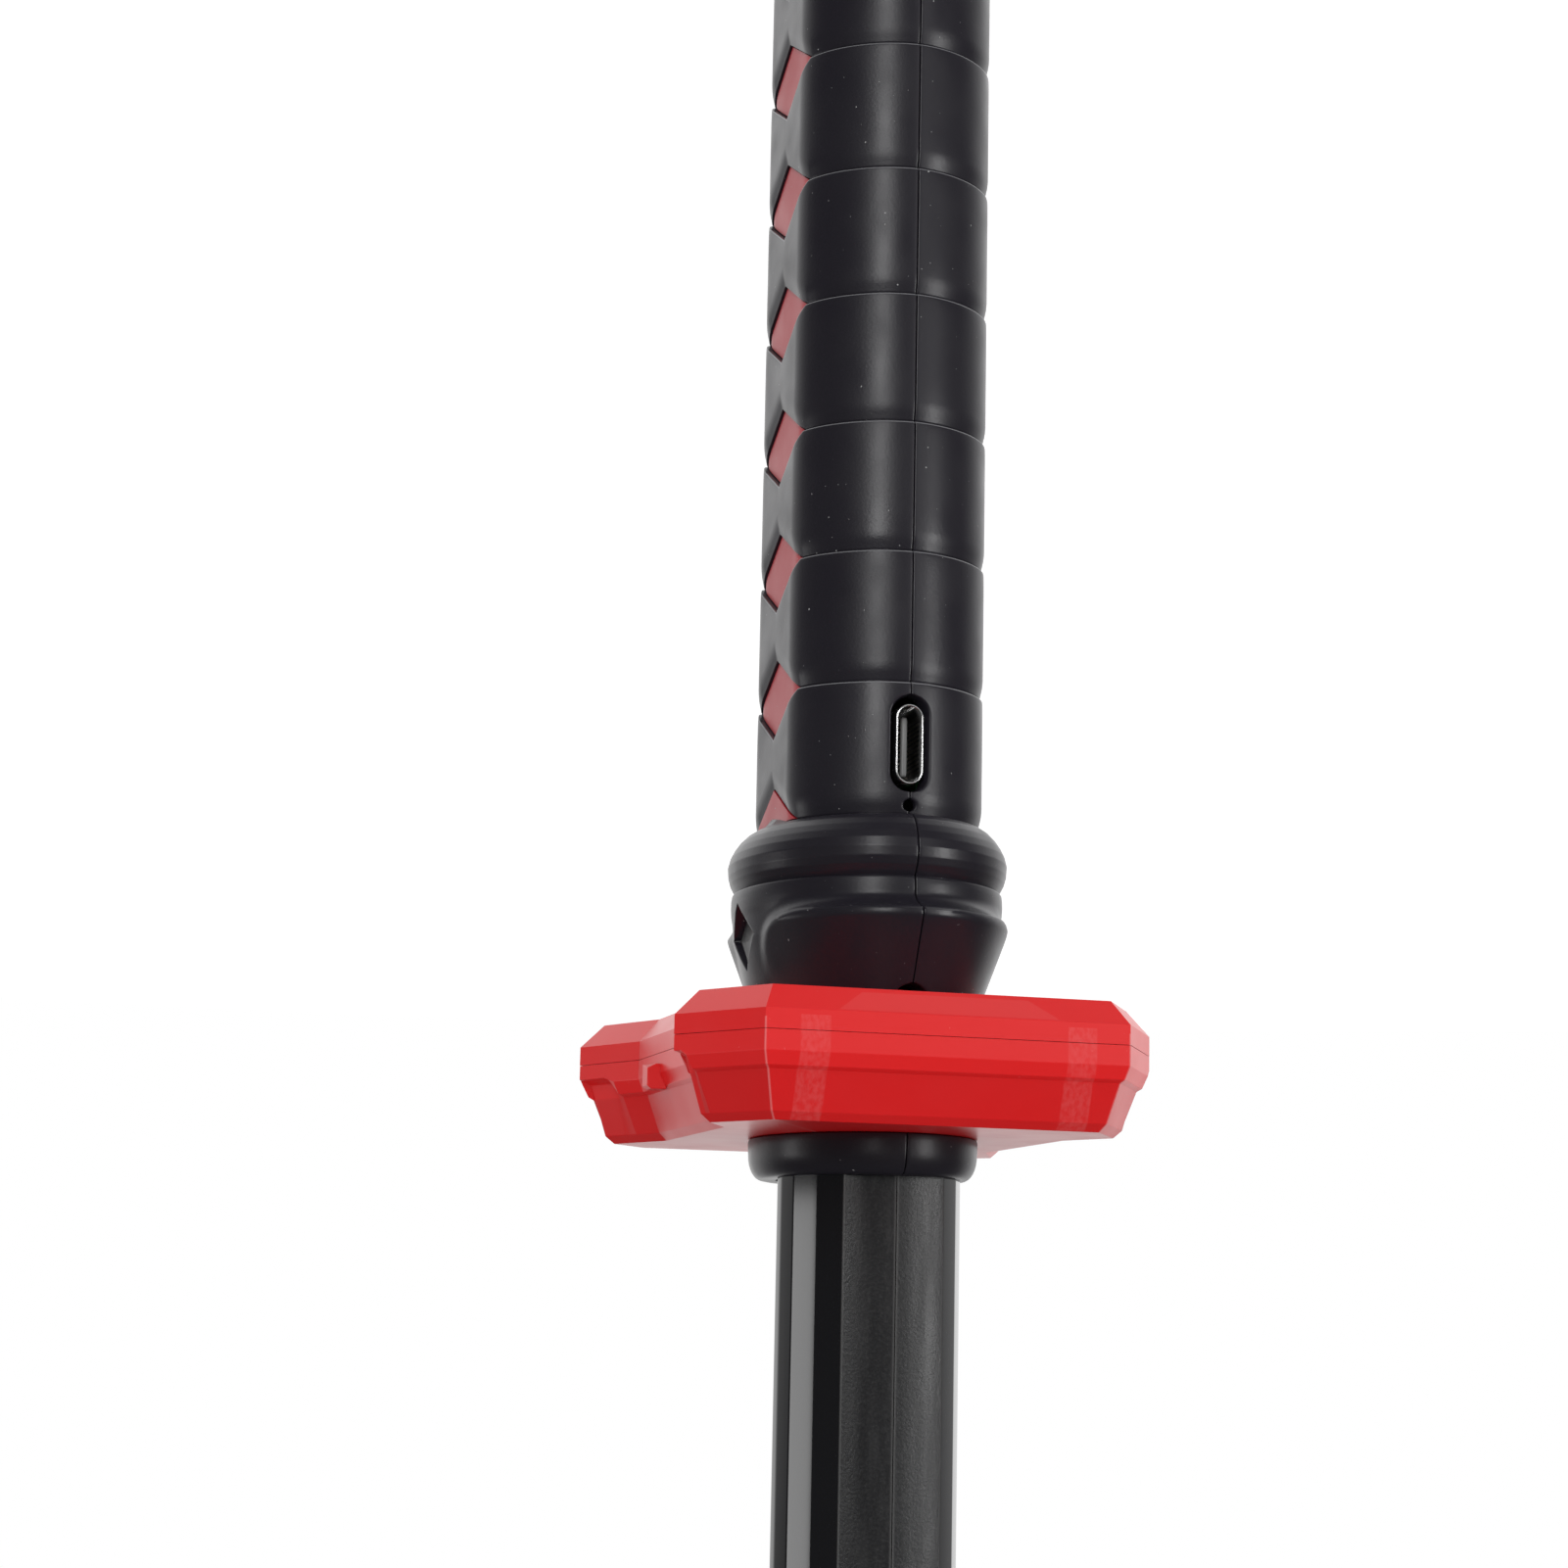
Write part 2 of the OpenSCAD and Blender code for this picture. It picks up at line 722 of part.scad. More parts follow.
module blade_form() {
    prism(inset(blade_outline, 0.3), foot_z, foot_z + foot_h);
    prism(inset(blade_outline, root_step), foot_z, ring_top + 1);
    prism(blade_outline, ring_top + 0.1, tip_z + 1);
}

module blade_room() {
    prism(inset(blade_outline, root_step + blade_wall), foot_z - 1, ring_top + 3);
    intersection() {
        prism(inset(blade_outline, blade_wall), ring_top + 2, tip_z);
        below_tip(2.2 * blade_wall);
    }
}

// One half of the blade; ribs on its inside hold the lamp board
module blade_shell(side) {
    difference() {
        intersection() {
            blade_form();
            below_tip(0);
            half_space(side);
        }
        difference() {
            blade_room();
            for (i = [0:lamp_ribs - 1])
                translate([
                    side > 0 ? lamp_board_t / 2 + 0.05 : -blade_x - lamp_board_t / 2 - 0.05,
                    lamp_y - lamp_board_w / 2 + 0.5,
                    lamp_rib_z(i) - rib_t / 2
                ])
                    cube([blade_x, lamp_board_w - 1, rib_t]);
        }
    }
}

function lamp_rib_z(i) = ring_top + 5 + i * (lamp_z1 - ring_top - 10) / (lamp_ribs - 1);

module blade_shell_left() {
    color(gloss_black) blade_shell(-1);
}

module blade_shell_right() {
    color(gloss_black) blade_shell(1);
}

// Pommel cap with a flat foot and a lanyard hole; its neck is trapped by the grip shells
module pommel_cap() {
    foot = grip_bottom + end_wall + foot_gap;
    color(rubber_black) difference() {
        union() {
            loft([
                ring_at(inset(grip_section, 0.9 - pommel_lip), 0),
                ring_at(inset(grip_section, -pommel_lip), 1.6),
                ring_at(inset(grip_section, -pommel_lip), pommel_h - 4),
                ring_at(inset(grip_section, 0.4 - pommel_lip), pommel_h - 3),
                ring_at(inset(grip_section, 0.4 - pommel_lip), pommel_h - 0.8),
                ring_at(inset(grip_section, 0.2), pommel_h)
            ]);
            prism(inset(grip_section, grip_wall + 2 + foot_gap), pommel_h - 1, foot + foot_h);
            prism(inset(grip_section, grip_wall + 0.2), foot, foot + foot_h);
        }
        x_bar(lanyard_d / 2, -2 * grip_x, 2 * grip_x, 0, pommel_h / 2);
    }
}

module shell_screws() {
    color(steel) for (p = screw_places) self_tapper(p[0], p[1]);
}

module battery_cell() {
    color([0.2, 0.42, 0.3]) translate([0, 0, cell_z]) cylinder(d = cell_d, h = cell_l, $fn = 64);
}

module contact_plate_front() {
    color(steel) translate([-4, -5, cell_top]) cube([8, 10, contact_t]);
}

module contact_plate_rear() {
    color(steel) translate([0, 0, cell_z - contact_t]) {
        translate([-4, -5, 0]) cube([8, 10, contact_t]);
        translate([lead_x - lead_d / 2, 0, 0]) cube([lead_d, lead_y + lead_d / 2, contact_t]);
    }
}

module lead(z0, z1, x, y) {
    translate([x, y, z0]) cylinder(d = lead_d, h = z1 - z0, $fn = 24);
}

module battery_lead_red() {
    color("red") lead(cell_top + contact_t, board_z0, lead_x, boss_r + 1.4);
}

module battery_lead_black() {
    z_turn = board_z0 + 2;
    color([0.08, 0.08, 0.08]) {
        lead(cell_z, z_turn, lead_x, lead_y);
        translate([lead_x, lead_y, z_turn]) sphere(d = lead_d, $fn = 24);
        translate([lead_x, board_y1, z_turn]) rotate([-90, 0, 0])
            cylinder(d = lead_d, h = lead_y - board_y1, $fn = 24);
    }
}

module main_board() {
    color([0.1, 0.4, 0.2]) difference() {
        translate([board_x - board_t, board_y0, board_z0])
            cube([board_t, board_y1 - board_y0, board_z1 - board_z0]);
        for (z = board_post_places)
            x_bar(board_screw_d / 2 + screw_gap, board_x - board_t - 1, board_x + 1, board_post_y, z);
    }
}

module board_screws() {
    color(steel) for (z = board_post_places) {
        x_bar(board_screw_d / 2, post_hole_x + screw_slack, board_x + 1, board_post_y, z);
        x_bar(board_head_r, board_x, board_x + board_head_h, board_post_y, z);
    }
}

module control_chip() {
    color([0.1, 0.1, 0.1]) translate([board_x, board_y0 + chip_y, board_z0 + chip_z]) cube(chip_size);
}

module usb_shell() {
    y0 = -grip_y + usb_recess;
    color([0.8, 0.78, 0.74]) difference() {
        z_slot(usb_t, usb_w, y0, y0 + usb_depth, grip_top - usb_offset);
        z_slot(
            usb_t - 2 * usb_wall, usb_w - 2 * usb_wall, y0 - 1, y0 + usb_depth - usb_wall,
            grip_top - usb_offset
        );
    }
}

module usb_tongue() {
    y0 = -grip_y + usb_recess;
    color([0.12, 0.12, 0.12])
        translate([-0.35, y0 + 0.8, grip_top - usb_offset - 3.3])
            cube([0.7, usb_depth - usb_wall - 0.8, 6.6]);
}

module indicator_led() {
    color([0.9, 0.9, 0.85]) translate([board_x, board_y0, indicator_z() - 0.8])
        cube([1.2 - board_x, 0.8, 1.6]);
}

module indicator_light_pipe() {
    color([0.85, 0.85, 0.9]) translate([0, -grip_y + 0.7, indicator_z()]) rotate([-90, 0, 0])
        cylinder(d = indicator_d - 0.2, h = board_y0 + grip_y - 0.75, $fn = 24);
}

module switch_housing() {
    color([0.15, 0.15, 0.16]) difference() {
        translate([board_x, -switch_w / 2, button_z - switch_w / 2])
            cube([switch_h, switch_w, switch_w]);
        x_bar(
            plunger_d / 2 + plunger_gap, plunger_end - button_travel - 0.3, switch_top + 1,
            0, button_z
        );
    }
}

module switch_plunger() {
    color([0.85, 0.85, 0.85]) x_bar(plunger_d / 2, plunger_end, stem_end, 0, button_z);
}

module mode_button() {
    flange_x = pad_x - seat_gap;
    half_w = pocket_y + flange_grow;
    half_h = pocket_z + flange_grow;
    color(gloss_black) {
        diamond_bar(
            pocket_y - button_gap, pocket_z - button_gap, button_z,
            flange_x - button_flange, button_face_x
        );
        translate([flange_x - button_flange, -half_w, button_z - half_h])
            cube([button_flange, 2 * half_w, 2 * half_h]);
        translate([stem_end, -stem_w / 2, button_z - stem_w / 2])
            cube([flange_x - button_flange - stem_end, stem_w, stem_w]);
    }
}

module lamp_board() {
    color([0.9, 0.9, 0.88]) translate([-lamp_board_t / 2, lamp_y - lamp_board_w / 2, lamp_z0])
        cube([lamp_board_t, lamp_board_w, lamp_z1 - lamp_z0]);
}

function lamp_pitch() = (lamp_z1 - ring_top - lamp_start - lamp_stop) / (lamp_count - 1);

// Lamps sit on one face of the lamp board, between the ribs of the blade shell
module lamps(side) {
    for (i = [0:lamp_count - 1])
        translate([
            side > 0 ? lamp_board_t / 2 : -lamp_board_t / 2 - lamp_t,
            lamp_y - lamp_w / 2,
            ring_top + lamp_start + i * lamp_pitch() - lamp_h / 2
        ])
            cube([lamp_t, lamp_w, lamp_h]);
}

module lamps_left() {
    color([0.95, 0.3, 0.25]) lamps(-1);
}

module lamps_right() {
    color([0.95, 0.3, 0.25]) lamps(1);
}

module lamp_leads() {
    color([0.75, 0.75, 0.75])
        for (y = [lamp_y - 3, lamp_y + 3])
            lead(board_z1, lamp_z0, (board_x - lamp_board_t / 2) / 2, y);
}

grip_shell_left();
grip_shell_right();
inlay_strip_left();
inlay_strip_right();
guard_upper();
guard_lower();
guard_screws();
blade_shell_left();
blade_shell_right();
pommel_cap();
shell_screws();
battery_cell();
contact_plate_front();
contact_plate_rear();
battery_lead_red();
battery_lead_black();
main_board();
board_screws();
control_chip();
usb_shell();
usb_tongue();
indicator_led();
indicator_light_pipe();
switch_housing();
switch_plunger();
mode_button();
lamp_board();
lamps_left();
lamps_right();
lamp_leads();
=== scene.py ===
# %% [markdown]
# Traffic baton light, dressed for the camera.
# The baton is a stick of moulded plastic: a wrapped grip with red diamonds, a collar, a red guard
# and a black blade. The packed CAD model gives every place and size. This script puts finer skins
# over the solids that show, and gives all the others a finish.

# %% The fixed frame
import json
import math

import bmesh
import bpy
import numpy as np
from mathutils import Matrix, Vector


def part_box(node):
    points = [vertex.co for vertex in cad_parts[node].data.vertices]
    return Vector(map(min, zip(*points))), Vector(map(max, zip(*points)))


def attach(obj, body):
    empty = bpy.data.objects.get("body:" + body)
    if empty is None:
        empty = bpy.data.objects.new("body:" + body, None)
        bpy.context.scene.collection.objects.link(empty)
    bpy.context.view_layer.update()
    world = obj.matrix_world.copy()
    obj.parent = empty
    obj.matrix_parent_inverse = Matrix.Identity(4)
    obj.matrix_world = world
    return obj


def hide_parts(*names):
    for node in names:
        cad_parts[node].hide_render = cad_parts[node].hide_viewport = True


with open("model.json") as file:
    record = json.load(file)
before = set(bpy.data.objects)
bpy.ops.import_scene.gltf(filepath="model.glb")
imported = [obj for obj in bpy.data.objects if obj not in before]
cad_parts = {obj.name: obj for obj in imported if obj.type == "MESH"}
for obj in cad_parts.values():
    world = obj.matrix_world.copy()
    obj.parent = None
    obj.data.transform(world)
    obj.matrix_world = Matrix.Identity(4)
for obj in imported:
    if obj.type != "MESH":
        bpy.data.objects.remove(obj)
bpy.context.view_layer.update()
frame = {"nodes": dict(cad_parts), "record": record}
MM = 0.001


def low(node):
    """Lowest corner of a CAD node, in millimetres."""
    return np.array(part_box(node)[0]) / MM


def high(node):
    """Highest corner of a CAD node, in millimetres."""
    return np.array(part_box(node)[1]) / MM


# %% [markdown]
# The heights along the axis come from the CAD nodes. What one box can't say, such as the number of
# wraps on the grip, is written once here. All lengths are millimetres, and a mesh is scaled to
# metres only when it is made.

# %% Heights along the axis
WRAPS = 11
COLLAR = 20.9
GRIP_BOTTOM = low("grip_shell_left")[2]
GUARD_BOTTOM = low("guard_upper")[2]
PARTING = high("guard_upper")[2]
GUARD_TOP = high("guard_lower")[2]
RING_TOP = high("grip_shell_left")[2]
TIP = high("blade_shell_left")[2]
GRIP_TOP = GUARD_BOTTOM - COLLAR
PITCH = (GRIP_TOP - GRIP_BOTTOM) / WRAPS
print(f"one wrap is {PITCH:.2f} mm, the guard starts at {GUARD_BOTTOM:.1f} mm")

# %% [markdown]
# The camera looks at the spine side, a little from the button side and from the blade, and it is
# turned upside down, so the blade points down in its view. Its three axes are worked out from a
# turn, a tilt and a roll. One helper puts any object into the scene with such axes.

# %% Camera
def add_object(name, data, axes=np.eye(3), place=(0, 0, 0)):
    """Object in the scene, from the three axes of its turn and its place in metres."""
    matrix = np.eye(4)
    matrix[:3, :3] = np.column_stack(axes)
    matrix[:3, 3] = place
    obj = bpy.data.objects.new(name, data)
    bpy.context.scene.collection.objects.link(obj)
    obj.matrix_world = Matrix(matrix.tolist())
    return obj


def camera_axes(turn, tilt, roll):
    """Right, up and backward axes of a camera that hangs upside down: it looks along +Y, turned
    towards -X by turn and towards -Z by tilt, and then rolls about its own line of sight."""
    a, p, r = np.radians([turn, tilt, roll])
    forward = np.array([-math.sin(a) * math.cos(p), math.cos(a) * math.cos(p), -math.sin(p)])
    right = np.array([-math.cos(a), -math.sin(a), 0.0])
    up = np.cross(right, forward)
    rolled_right = math.cos(r) * right + math.sin(r) * up
    rolled_up = math.cos(r) * up - math.sin(r) * right
    return rolled_right, rolled_up, -forward


def make_camera():
    """The scene's camera, with its place in millimetres from the axis and from the guard."""
    data = bpy.data.cameras.new("camera")
    data.sensor_width, data.lens = 36.0, 74.2
    data.clip_start, data.clip_end = 0.01, 20.0
    place = np.array([105.3, -344.3, GUARD_BOTTOM + 36.2]) * MM
    bpy.context.scene.camera = add_object("camera", data, camera_axes(15.5, 9.9, 1.2), place)
    return bpy.context.scene.camera


camera = make_camera()
bpy.context.scene.view_settings.view_transform = "Standard"
print("camera at", [round(c, 3) for c in camera.location])

# %% [markdown]
# A material is a small tree of nodes, and so is the world. One helper adds a node and fills its
# sockets, each with a number or with another node's output. Sums between nodes get short names.

# %% Node helpers
class Nodes:
    """A tree of nodes, and a short way to add and join them."""

    def __init__(self, tree):
        self.tree = tree

    def fill(self, node, sockets):
        """Give sockets, by name or number, a fixed value or another node's output."""
        for name, value in sockets.items():
            socket = node.inputs[name.replace("_", " ") if isinstance(name, str) else name]
            if isinstance(value, bpy.types.NodeSocket):
                self.tree.links.new(value, socket)
            else:
                socket.default_value = (*value, 1.0) if socket.type == "RGBA" else value
        return node

    def node(self, kind, settings=(), **sockets):
        """New node with its settings made and its sockets filled."""
        node = self.tree.nodes.new("ShaderNode" + kind)
        for field, value in settings:
            setattr(node, field, value)
        return self.fill(node, sockets)

    def math(self, operation, first, *more):
        """A sum of numbers or outputs, two at a time, or a plain function of one of them."""
        for value in more or (0.0,):
            node = self.node("Math", [("operation", operation)])
            first = self.fill(node, {0: first, 1: value}).outputs[0]
        return first

    def times(self, *values):
        """Product: of masks, it is whole only where each of them is."""
        return self.math("MULTIPLY", *values)

    def less(self, first, *more):
        return self.math("SUBTRACT", first, *more)

    def largest(self, *values):
        return self.math("MAXIMUM", *values)

    def over(self, value, limit):
        return self.math("GREATER_THAN", value, limit)

    def under(self, value, limit):
        return self.math("LESS_THAN", value, limit)

    def span(self, source, start, end, low=0.0, high=1.0):
        """A value that runs from start to end, stretched to run from low to high."""
        node = self.node("MapRange", Value=source, From_Min=start, From_Max=end, To_Min=low, To_Max=high)
        return node.outputs["Result"]

    def mix(self, amount, first, second):
        """Colour between two colours, by an amount."""
        node = self.node("Mix", [("data_type", "RGBA")])
        return self.fill(node, {0: amount, 6: first, 7: second}).outputs[2]


print("node helpers:", [name for name in dir(Nodes) if name[0] != "_"])

# %% [markdown]
# A finish is a material that measures places in millimetres, so that each one below reads as a
# short list. Numbers that are the same all over go straight on its shader.

# %% Finish
class Finish(Nodes):
    """A material with its shader, for meshes whose own places are those of the frame."""

    def __init__(self, name, colour, **sockets):
        self.material = bpy.data.materials.new(name)
        self.material.use_nodes = True
        self.material.diffuse_color = (*colour, 1.0)
        super().__init__(self.material.node_tree)
        self.shader = self.fill(self.tree.nodes["Principled BSDF"], sockets)
        self.place = self.node("TexCoord").outputs["Object"]

    def at(self, axis):
        """Place along one axis, in millimetres."""
        return self.math("DIVIDE", self.node("SeparateXYZ", Vector=self.place).outputs[axis], MM)

    def off(self, axis, centre=0.0):
        """Distance along one axis from a centre, in millimetres, to either side."""
        return self.math("ABSOLUTE", self.less(self.at(axis), centre))

    def noise(self, size_mm, detail=2.0, stretch=(1, 1, 1)):
        """Cloudy noise whose blobs are about size_mm across."""
        place = self.node("Mapping", Vector=self.place, Scale=stretch).outputs["Vector"]
        return self.node("TexNoise", Vector=place, Scale=1 / (size_mm * MM), Detail=detail).outputs["Fac"]

    def drive(self, socket, source):
        self.tree.links.new(source, self.shader.inputs[socket])

    def stain(self, amount, colour):
        """Another colour over the base colour so far."""
        before = self.shader.inputs["Base Color"].links[0].from_socket
        self.drive("Base Color", self.mix(amount, before, colour))

    def bump(self, height, depth_mm):
        """Small relief of the given height."""
        self.drive("Normal", self.node("Bump", Height=height, Distance=depth_mm * MM).outputs["Normal"])


print("a finish adds:", [name for name in vars(Finish) if name[0] != "_"])

# %% [markdown]
# The studio is a white sweep behind and under the baton, a dim room in front, and soft boxes. The
# sweep is the world itself: white to the camera, and to a glossy ray that goes backwards, and dark
# to one that goes forwards. So black gloss stays black in front, and gets its pale rim at the sides.

# %% World
SWEEP_AXIS = (-0.22, 0.82, -0.5)


def make_world():
    """Strength by the kind of ray: camera 1, glossy by its direction's share of the sweep's axis,
    and one soft level for the rest."""
    world = bpy.data.worlds.new("studio")
    bpy.context.scene.world = world
    world.use_nodes = True
    nodes = Nodes(world.node_tree)
    path = nodes.node("LightPath").outputs
    along = nodes.node("VectorMath", [("operation", "DOT_PRODUCT")])
    nodes.fill(along, {0: nodes.node("TexCoord").outputs["Generated"], 1: SWEEP_AXIS})
    sweep = nodes.span(along.outputs["Value"], 0.35, 0.82, low=0.04, high=1.3)
    other = nodes.span(path["Is Glossy Ray"], 0, 1, low=0.62, high=sweep)
    seen = nodes.largest(path["Is Camera Ray"], path["Is Transmission Ray"])
    strength = nodes.span(seen, 0, 1, low=other, high=1.0)
    nodes.fill(nodes.tree.nodes["Background"], {"Color": (1, 1, 1), "Strength": strength})


make_world()
print("world:", bpy.context.scene.world.name)

# %% [markdown]
# Four upright soft boxes stand round the baton: a tall one in front, a shorter one on either side,
# and a wide, weak one that fills the shade. The floor would hide the foot of the sweep and of the
# lamps from glossy and shadow rays, so it is left out of those, and a polished piece reflects the
# same studio at any height.

# %% Lamps and floor
def soft_box(name, azimuth, z_low, z_high, wide, glow, distance=1.2):
    """Upright area lamp, measured in metres, that faces the baton from an azimuth in degrees: 0 is
    the spine side and 90 the button side. Its power makes its face shine with the glow."""
    a = math.radians(azimuth)
    back = np.array([math.sin(a), -math.cos(a), 0.0])
    lamp = bpy.data.lights.new(name, "AREA")
    lamp.shape, lamp.size, lamp.size_y = "RECTANGLE", wide, z_high - z_low
    lamp.energy = 4 * wide * (z_high - z_low) * glow
    axes = [np.cross([0, 0, 1], back), [0, 0, 1], back]
    place = back * distance + [0, 0, (z_low + z_high) / 2]
    add_object(name, lamp, axes, place).visible_camera = False


def make_floor(radius=2.0, drop=0.0002, shine=0.6):
    """Pale disc under the pommel, almost white to the camera, with the baton's soft shadow."""
    turn = np.linspace(0, 2 * math.pi, 97)[:-1]
    points = np.stack([radius * np.cos(turn), radius * np.sin(turn), 0 * turn - drop], -1)
    mesh = bpy.data.meshes.new("floor")
    mesh.from_pydata(points.tolist(), [], [list(range(len(turn)))])
    floor = add_object("floor", mesh)
    paint = (0.8, 0.8, 0.8)
    finish = Finish("floor_paint", paint, Base_Color=paint, Roughness=0.9, Emission_Color=(1, 1, 1))
    path = finish.node("LightPath").outputs
    seen = finish.largest(path["Is Glossy Ray"], path["Is Transmission Ray"], path["Is Camera Ray"])
    finish.drive("Emission Strength", finish.times(seen, shine))
    mesh.materials.append(finish.material)
    floor.visible_glossy = False
    floor.visible_shadow = False


soft_box("soft_box_front", azimuth=26, z_low=-0.80, z_high=0.17, wide=0.26, glow=6.0)
soft_box("soft_box_low", azimuth=-45, z_low=-0.08, z_high=0.40, wide=0.24, glow=8.0)
soft_box("soft_box_side", azimuth=115, z_low=0.16, z_high=0.42, wide=0.22, glow=3.1)
soft_box("soft_box_fill", azimuth=-24, z_low=-0.80, z_high=0.25, wide=0.6, glow=0.6)
make_floor()

# %% [markdown]
# Moulded plastic isn't one flat colour. It has a fine spark-eroded grain, slow changes of gloss
# where the tool was polished by hand, and a few pale specks of dust and flash. One function makes
# them all, and each part of the baton sets its own colour, gloss and grain. Bare metal is simpler:
# only its gloss changes, in clouds or along fine scratches.

# %% Moulded plastic and bare metal
def moulded_plastic(name, colour, gloss, grain_mm, grain_depth, cloud=0.05, speck=(0.3, 0.3, 0.3)):
    """Plastic with grain, cloudy gloss and rare pale specks; gloss is the roughness."""
    finish = Finish(name, colour, IOR=1.47)
    low_gloss, high_gloss = gloss - 1.5 * cloud, gloss + 1.5 * cloud
    clouds = finish.noise(6.0, detail=2.0)
    specks = finish.span(finish.noise(0.33, detail=0.0), 0.87, 0.89)
    finish.drive("Roughness", finish.span(clouds, 0.15, 0.85, low_gloss, high_gloss))
    finish.drive("Base Color", finish.mix(specks, colour, speck))
    finish.bump(finish.noise(grain_mm, detail=3.0), grain_depth)
    return finish


def bare_metal(name, colour, low_gloss, high_gloss, size_mm, stretch=(1, 1, 1)):
    """Metal whose roughness runs from low to high in a noise of the given size."""
    finish = Finish(name, colour, Metallic=1.0, Base_Color=colour)
    noise = finish.noise(size_mm, stretch=stretch)
    finish.drive("Roughness", finish.span(noise, 0.3, 0.7, low_gloss, high_gloss))
    return finish


grip_finish = moulded_plastic("grip_satin_black", (0.0125, 0.0110, 0.0160), 0.34, 0.30, 0.010)
print("first finish:", grip_finish.material.name)

# %% [markdown]
# Every skin below is a grid of points worked out with numpy. One helper turns a stack of closed
# loops into a closed solid: quads between the loops, and one face over each end. It measures the
# volume, and turns all faces round if it comes out negative, so they always point outwards.

# %% Solids from stacks of loops
def grid_faces(rows, columns, closed_rows):
    """Quads between neighbouring loops; the last column joins the first, and so may the last row."""
    row = np.arange(rows if closed_rows else rows - 1)[:, None]
    column = np.arange(columns)[None]
    beside, start, after = (column + 1) % columns, row * columns, (row + 1) % rows * columns
    quads = [start + column, start + beside, after + beside, after + column]
    return np.stack(quads, -1).reshape(-1, 4)


def volume(points, quads):
    """Signed volume under the quads: the sum of the boxes that their corners span."""
    a, b, c, d = (points[quads[:, i]] for i in range(4))
    return float((np.cross(b - a, c - a) * a).sum() + (np.cross(c - a, d - a) * a).sum()) / 6


def closed_surface(loops, closed_rows=False):
    """Points and faces of a closed solid from loops[row, column, xyz]; closed rows make a ring."""
    loops = np.asarray(loops, float)
    rows, columns = loops.shape[:2]
    points = loops.reshape(-1, 3)
    quads = grid_faces(rows, columns, closed_rows)
    flip = volume(points - points.mean(0), quads) < 0
    faces = (quads[:, ::-1] if flip else quads).tolist()
    if not closed_rows:
        first = list(range(columns))[::-1]
        last = list(range((rows - 1) * columns, rows * columns))
        faces += [first[::-1], last[::-1]] if flip else [first, last]
    return points, faces


cube = [[(-1, -1, z), (1, -1, z), (1, 1, z), (-1, 1, z)] for z in (0, 1)]
print("a closed box has", len(closed_surface(cube)[1]), "faces")

# %% [markdown] A piece is a mesh of such solids.

# %% Pieces
def mesh_object(name, surfaces):
    """Object with one mesh of several closed surfaces, given in millimetres."""
    points, faces, start = [], [], 0
    for cloud, polygons in surfaces:
        points.append(cloud * MM)
        faces += [[start + i for i in polygon] for polygon in polygons]
        start += len(cloud)
    mesh = bpy.data.meshes.new(name)
    mesh.from_pydata(np.concatenate(points).tolist(), [], faces)
    mesh.validate()
    return add_object(name, mesh)


def carve(obj, cutter):
    """Cut one object out of another, and delete the cutter."""
    cut = obj.modifiers.new("carve", "BOOLEAN")
    cut.operation, cut.solver, cut.object = "DIFFERENCE", "EXACT", cutter
    bpy.context.view_layer.update()
    graph = bpy.context.evaluated_depsgraph_get()
    mesh = bpy.data.meshes.new_from_object(obj.evaluated_get(graph))
    obj.modifiers.clear()
    obj.data = mesh
    bpy.data.objects.remove(cutter)


dressed = set()


def piece(name, surfaces, finish, node, sharp=35.0, body="baton", holes=()):
    """Finished piece in a node's place, less its holes, and smooth below sharp degrees."""
    obj = mesh_object(name, surfaces)
    if holes:
        carve(obj, mesh_object(name + "_holes", holes))
    mesh = obj.data
    mesh.polygons.foreach_set("use_smooth", np.ones(len(mesh.polygons), bool))
    mesh.set_sharp_from_angle(angle=math.radians(sharp))
    mesh.materials.clear()
    mesh.materials.append(finish.material)
    mesh.update()
    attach(obj, body)
    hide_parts(node)
    dressed.add(node)
    print(name, len(mesh.polygons), "faces")
    return obj


def mirrored(loops):
    """The same loops on the other side of the seam."""
    return loops * np.array([-1.0, 1.0, 1.0])


# %% [markdown]
# The grip is two half shells that meet on the spine and on the edge side. Its section is an oval
# with flat sides. A half section is drawn once, very finely, from the spine seam round to the edge
# seam, and points are then picked along it by their distance from the spine.

# %% Half section of the grip
GRIP_X, GRIP_Y, GRIP_FLAT, NOSE = 11.25, 15.8, 5.9, 1.8
DIAMOND_Y, DIAMOND_Z = 8.2, 4.5
SEAM = 0.05


def half_grip_line(count=3000):
    """Half section: nose where x and y follow powers of sine and cosine, flat, and nose again."""
    a = np.linspace(0, math.pi / 2, count)
    nose_x = GRIP_X * np.sin(a) ** (2 / NOSE)
    nose_y = GRIP_FLAT + (GRIP_Y - GRIP_FLAT) * np.cos(a) ** (2 / NOSE)
    flat_y = np.linspace(-GRIP_FLAT, GRIP_FLAT, count)[1:-1]
    x = np.concatenate([nose_x, np.full(count - 2, GRIP_X), nose_x[::-1]])
    y = np.concatenate([-nose_y, flat_y, nose_y[::-1]])
    return x, y


line_x, line_y = half_grip_line()
line_s = np.concatenate([[0], np.cumsum(np.hypot(np.diff(line_x), np.diff(line_y)))])
slope = np.gradient(line_x, line_s), np.gradient(line_y, line_s)


def distance_at(y):
    """Distance along the half section at which it reaches y."""
    return float(np.interp(y, line_y, line_s))


def section(s, depth=0.0):
    """Point of the half section at a distance, moved inwards along its normal by a depth."""
    x, y = np.interp(s, line_s, line_x), np.interp(s, line_s, line_y)
    tx, ty = np.interp(s, line_s, slope[0]), np.interp(s, line_s, slope[1])
    length = np.hypot(tx, ty)
    return x - depth * ty / length, y + depth * tx / length


print(f"the half section is {line_s[-1]:.1f} mm long")

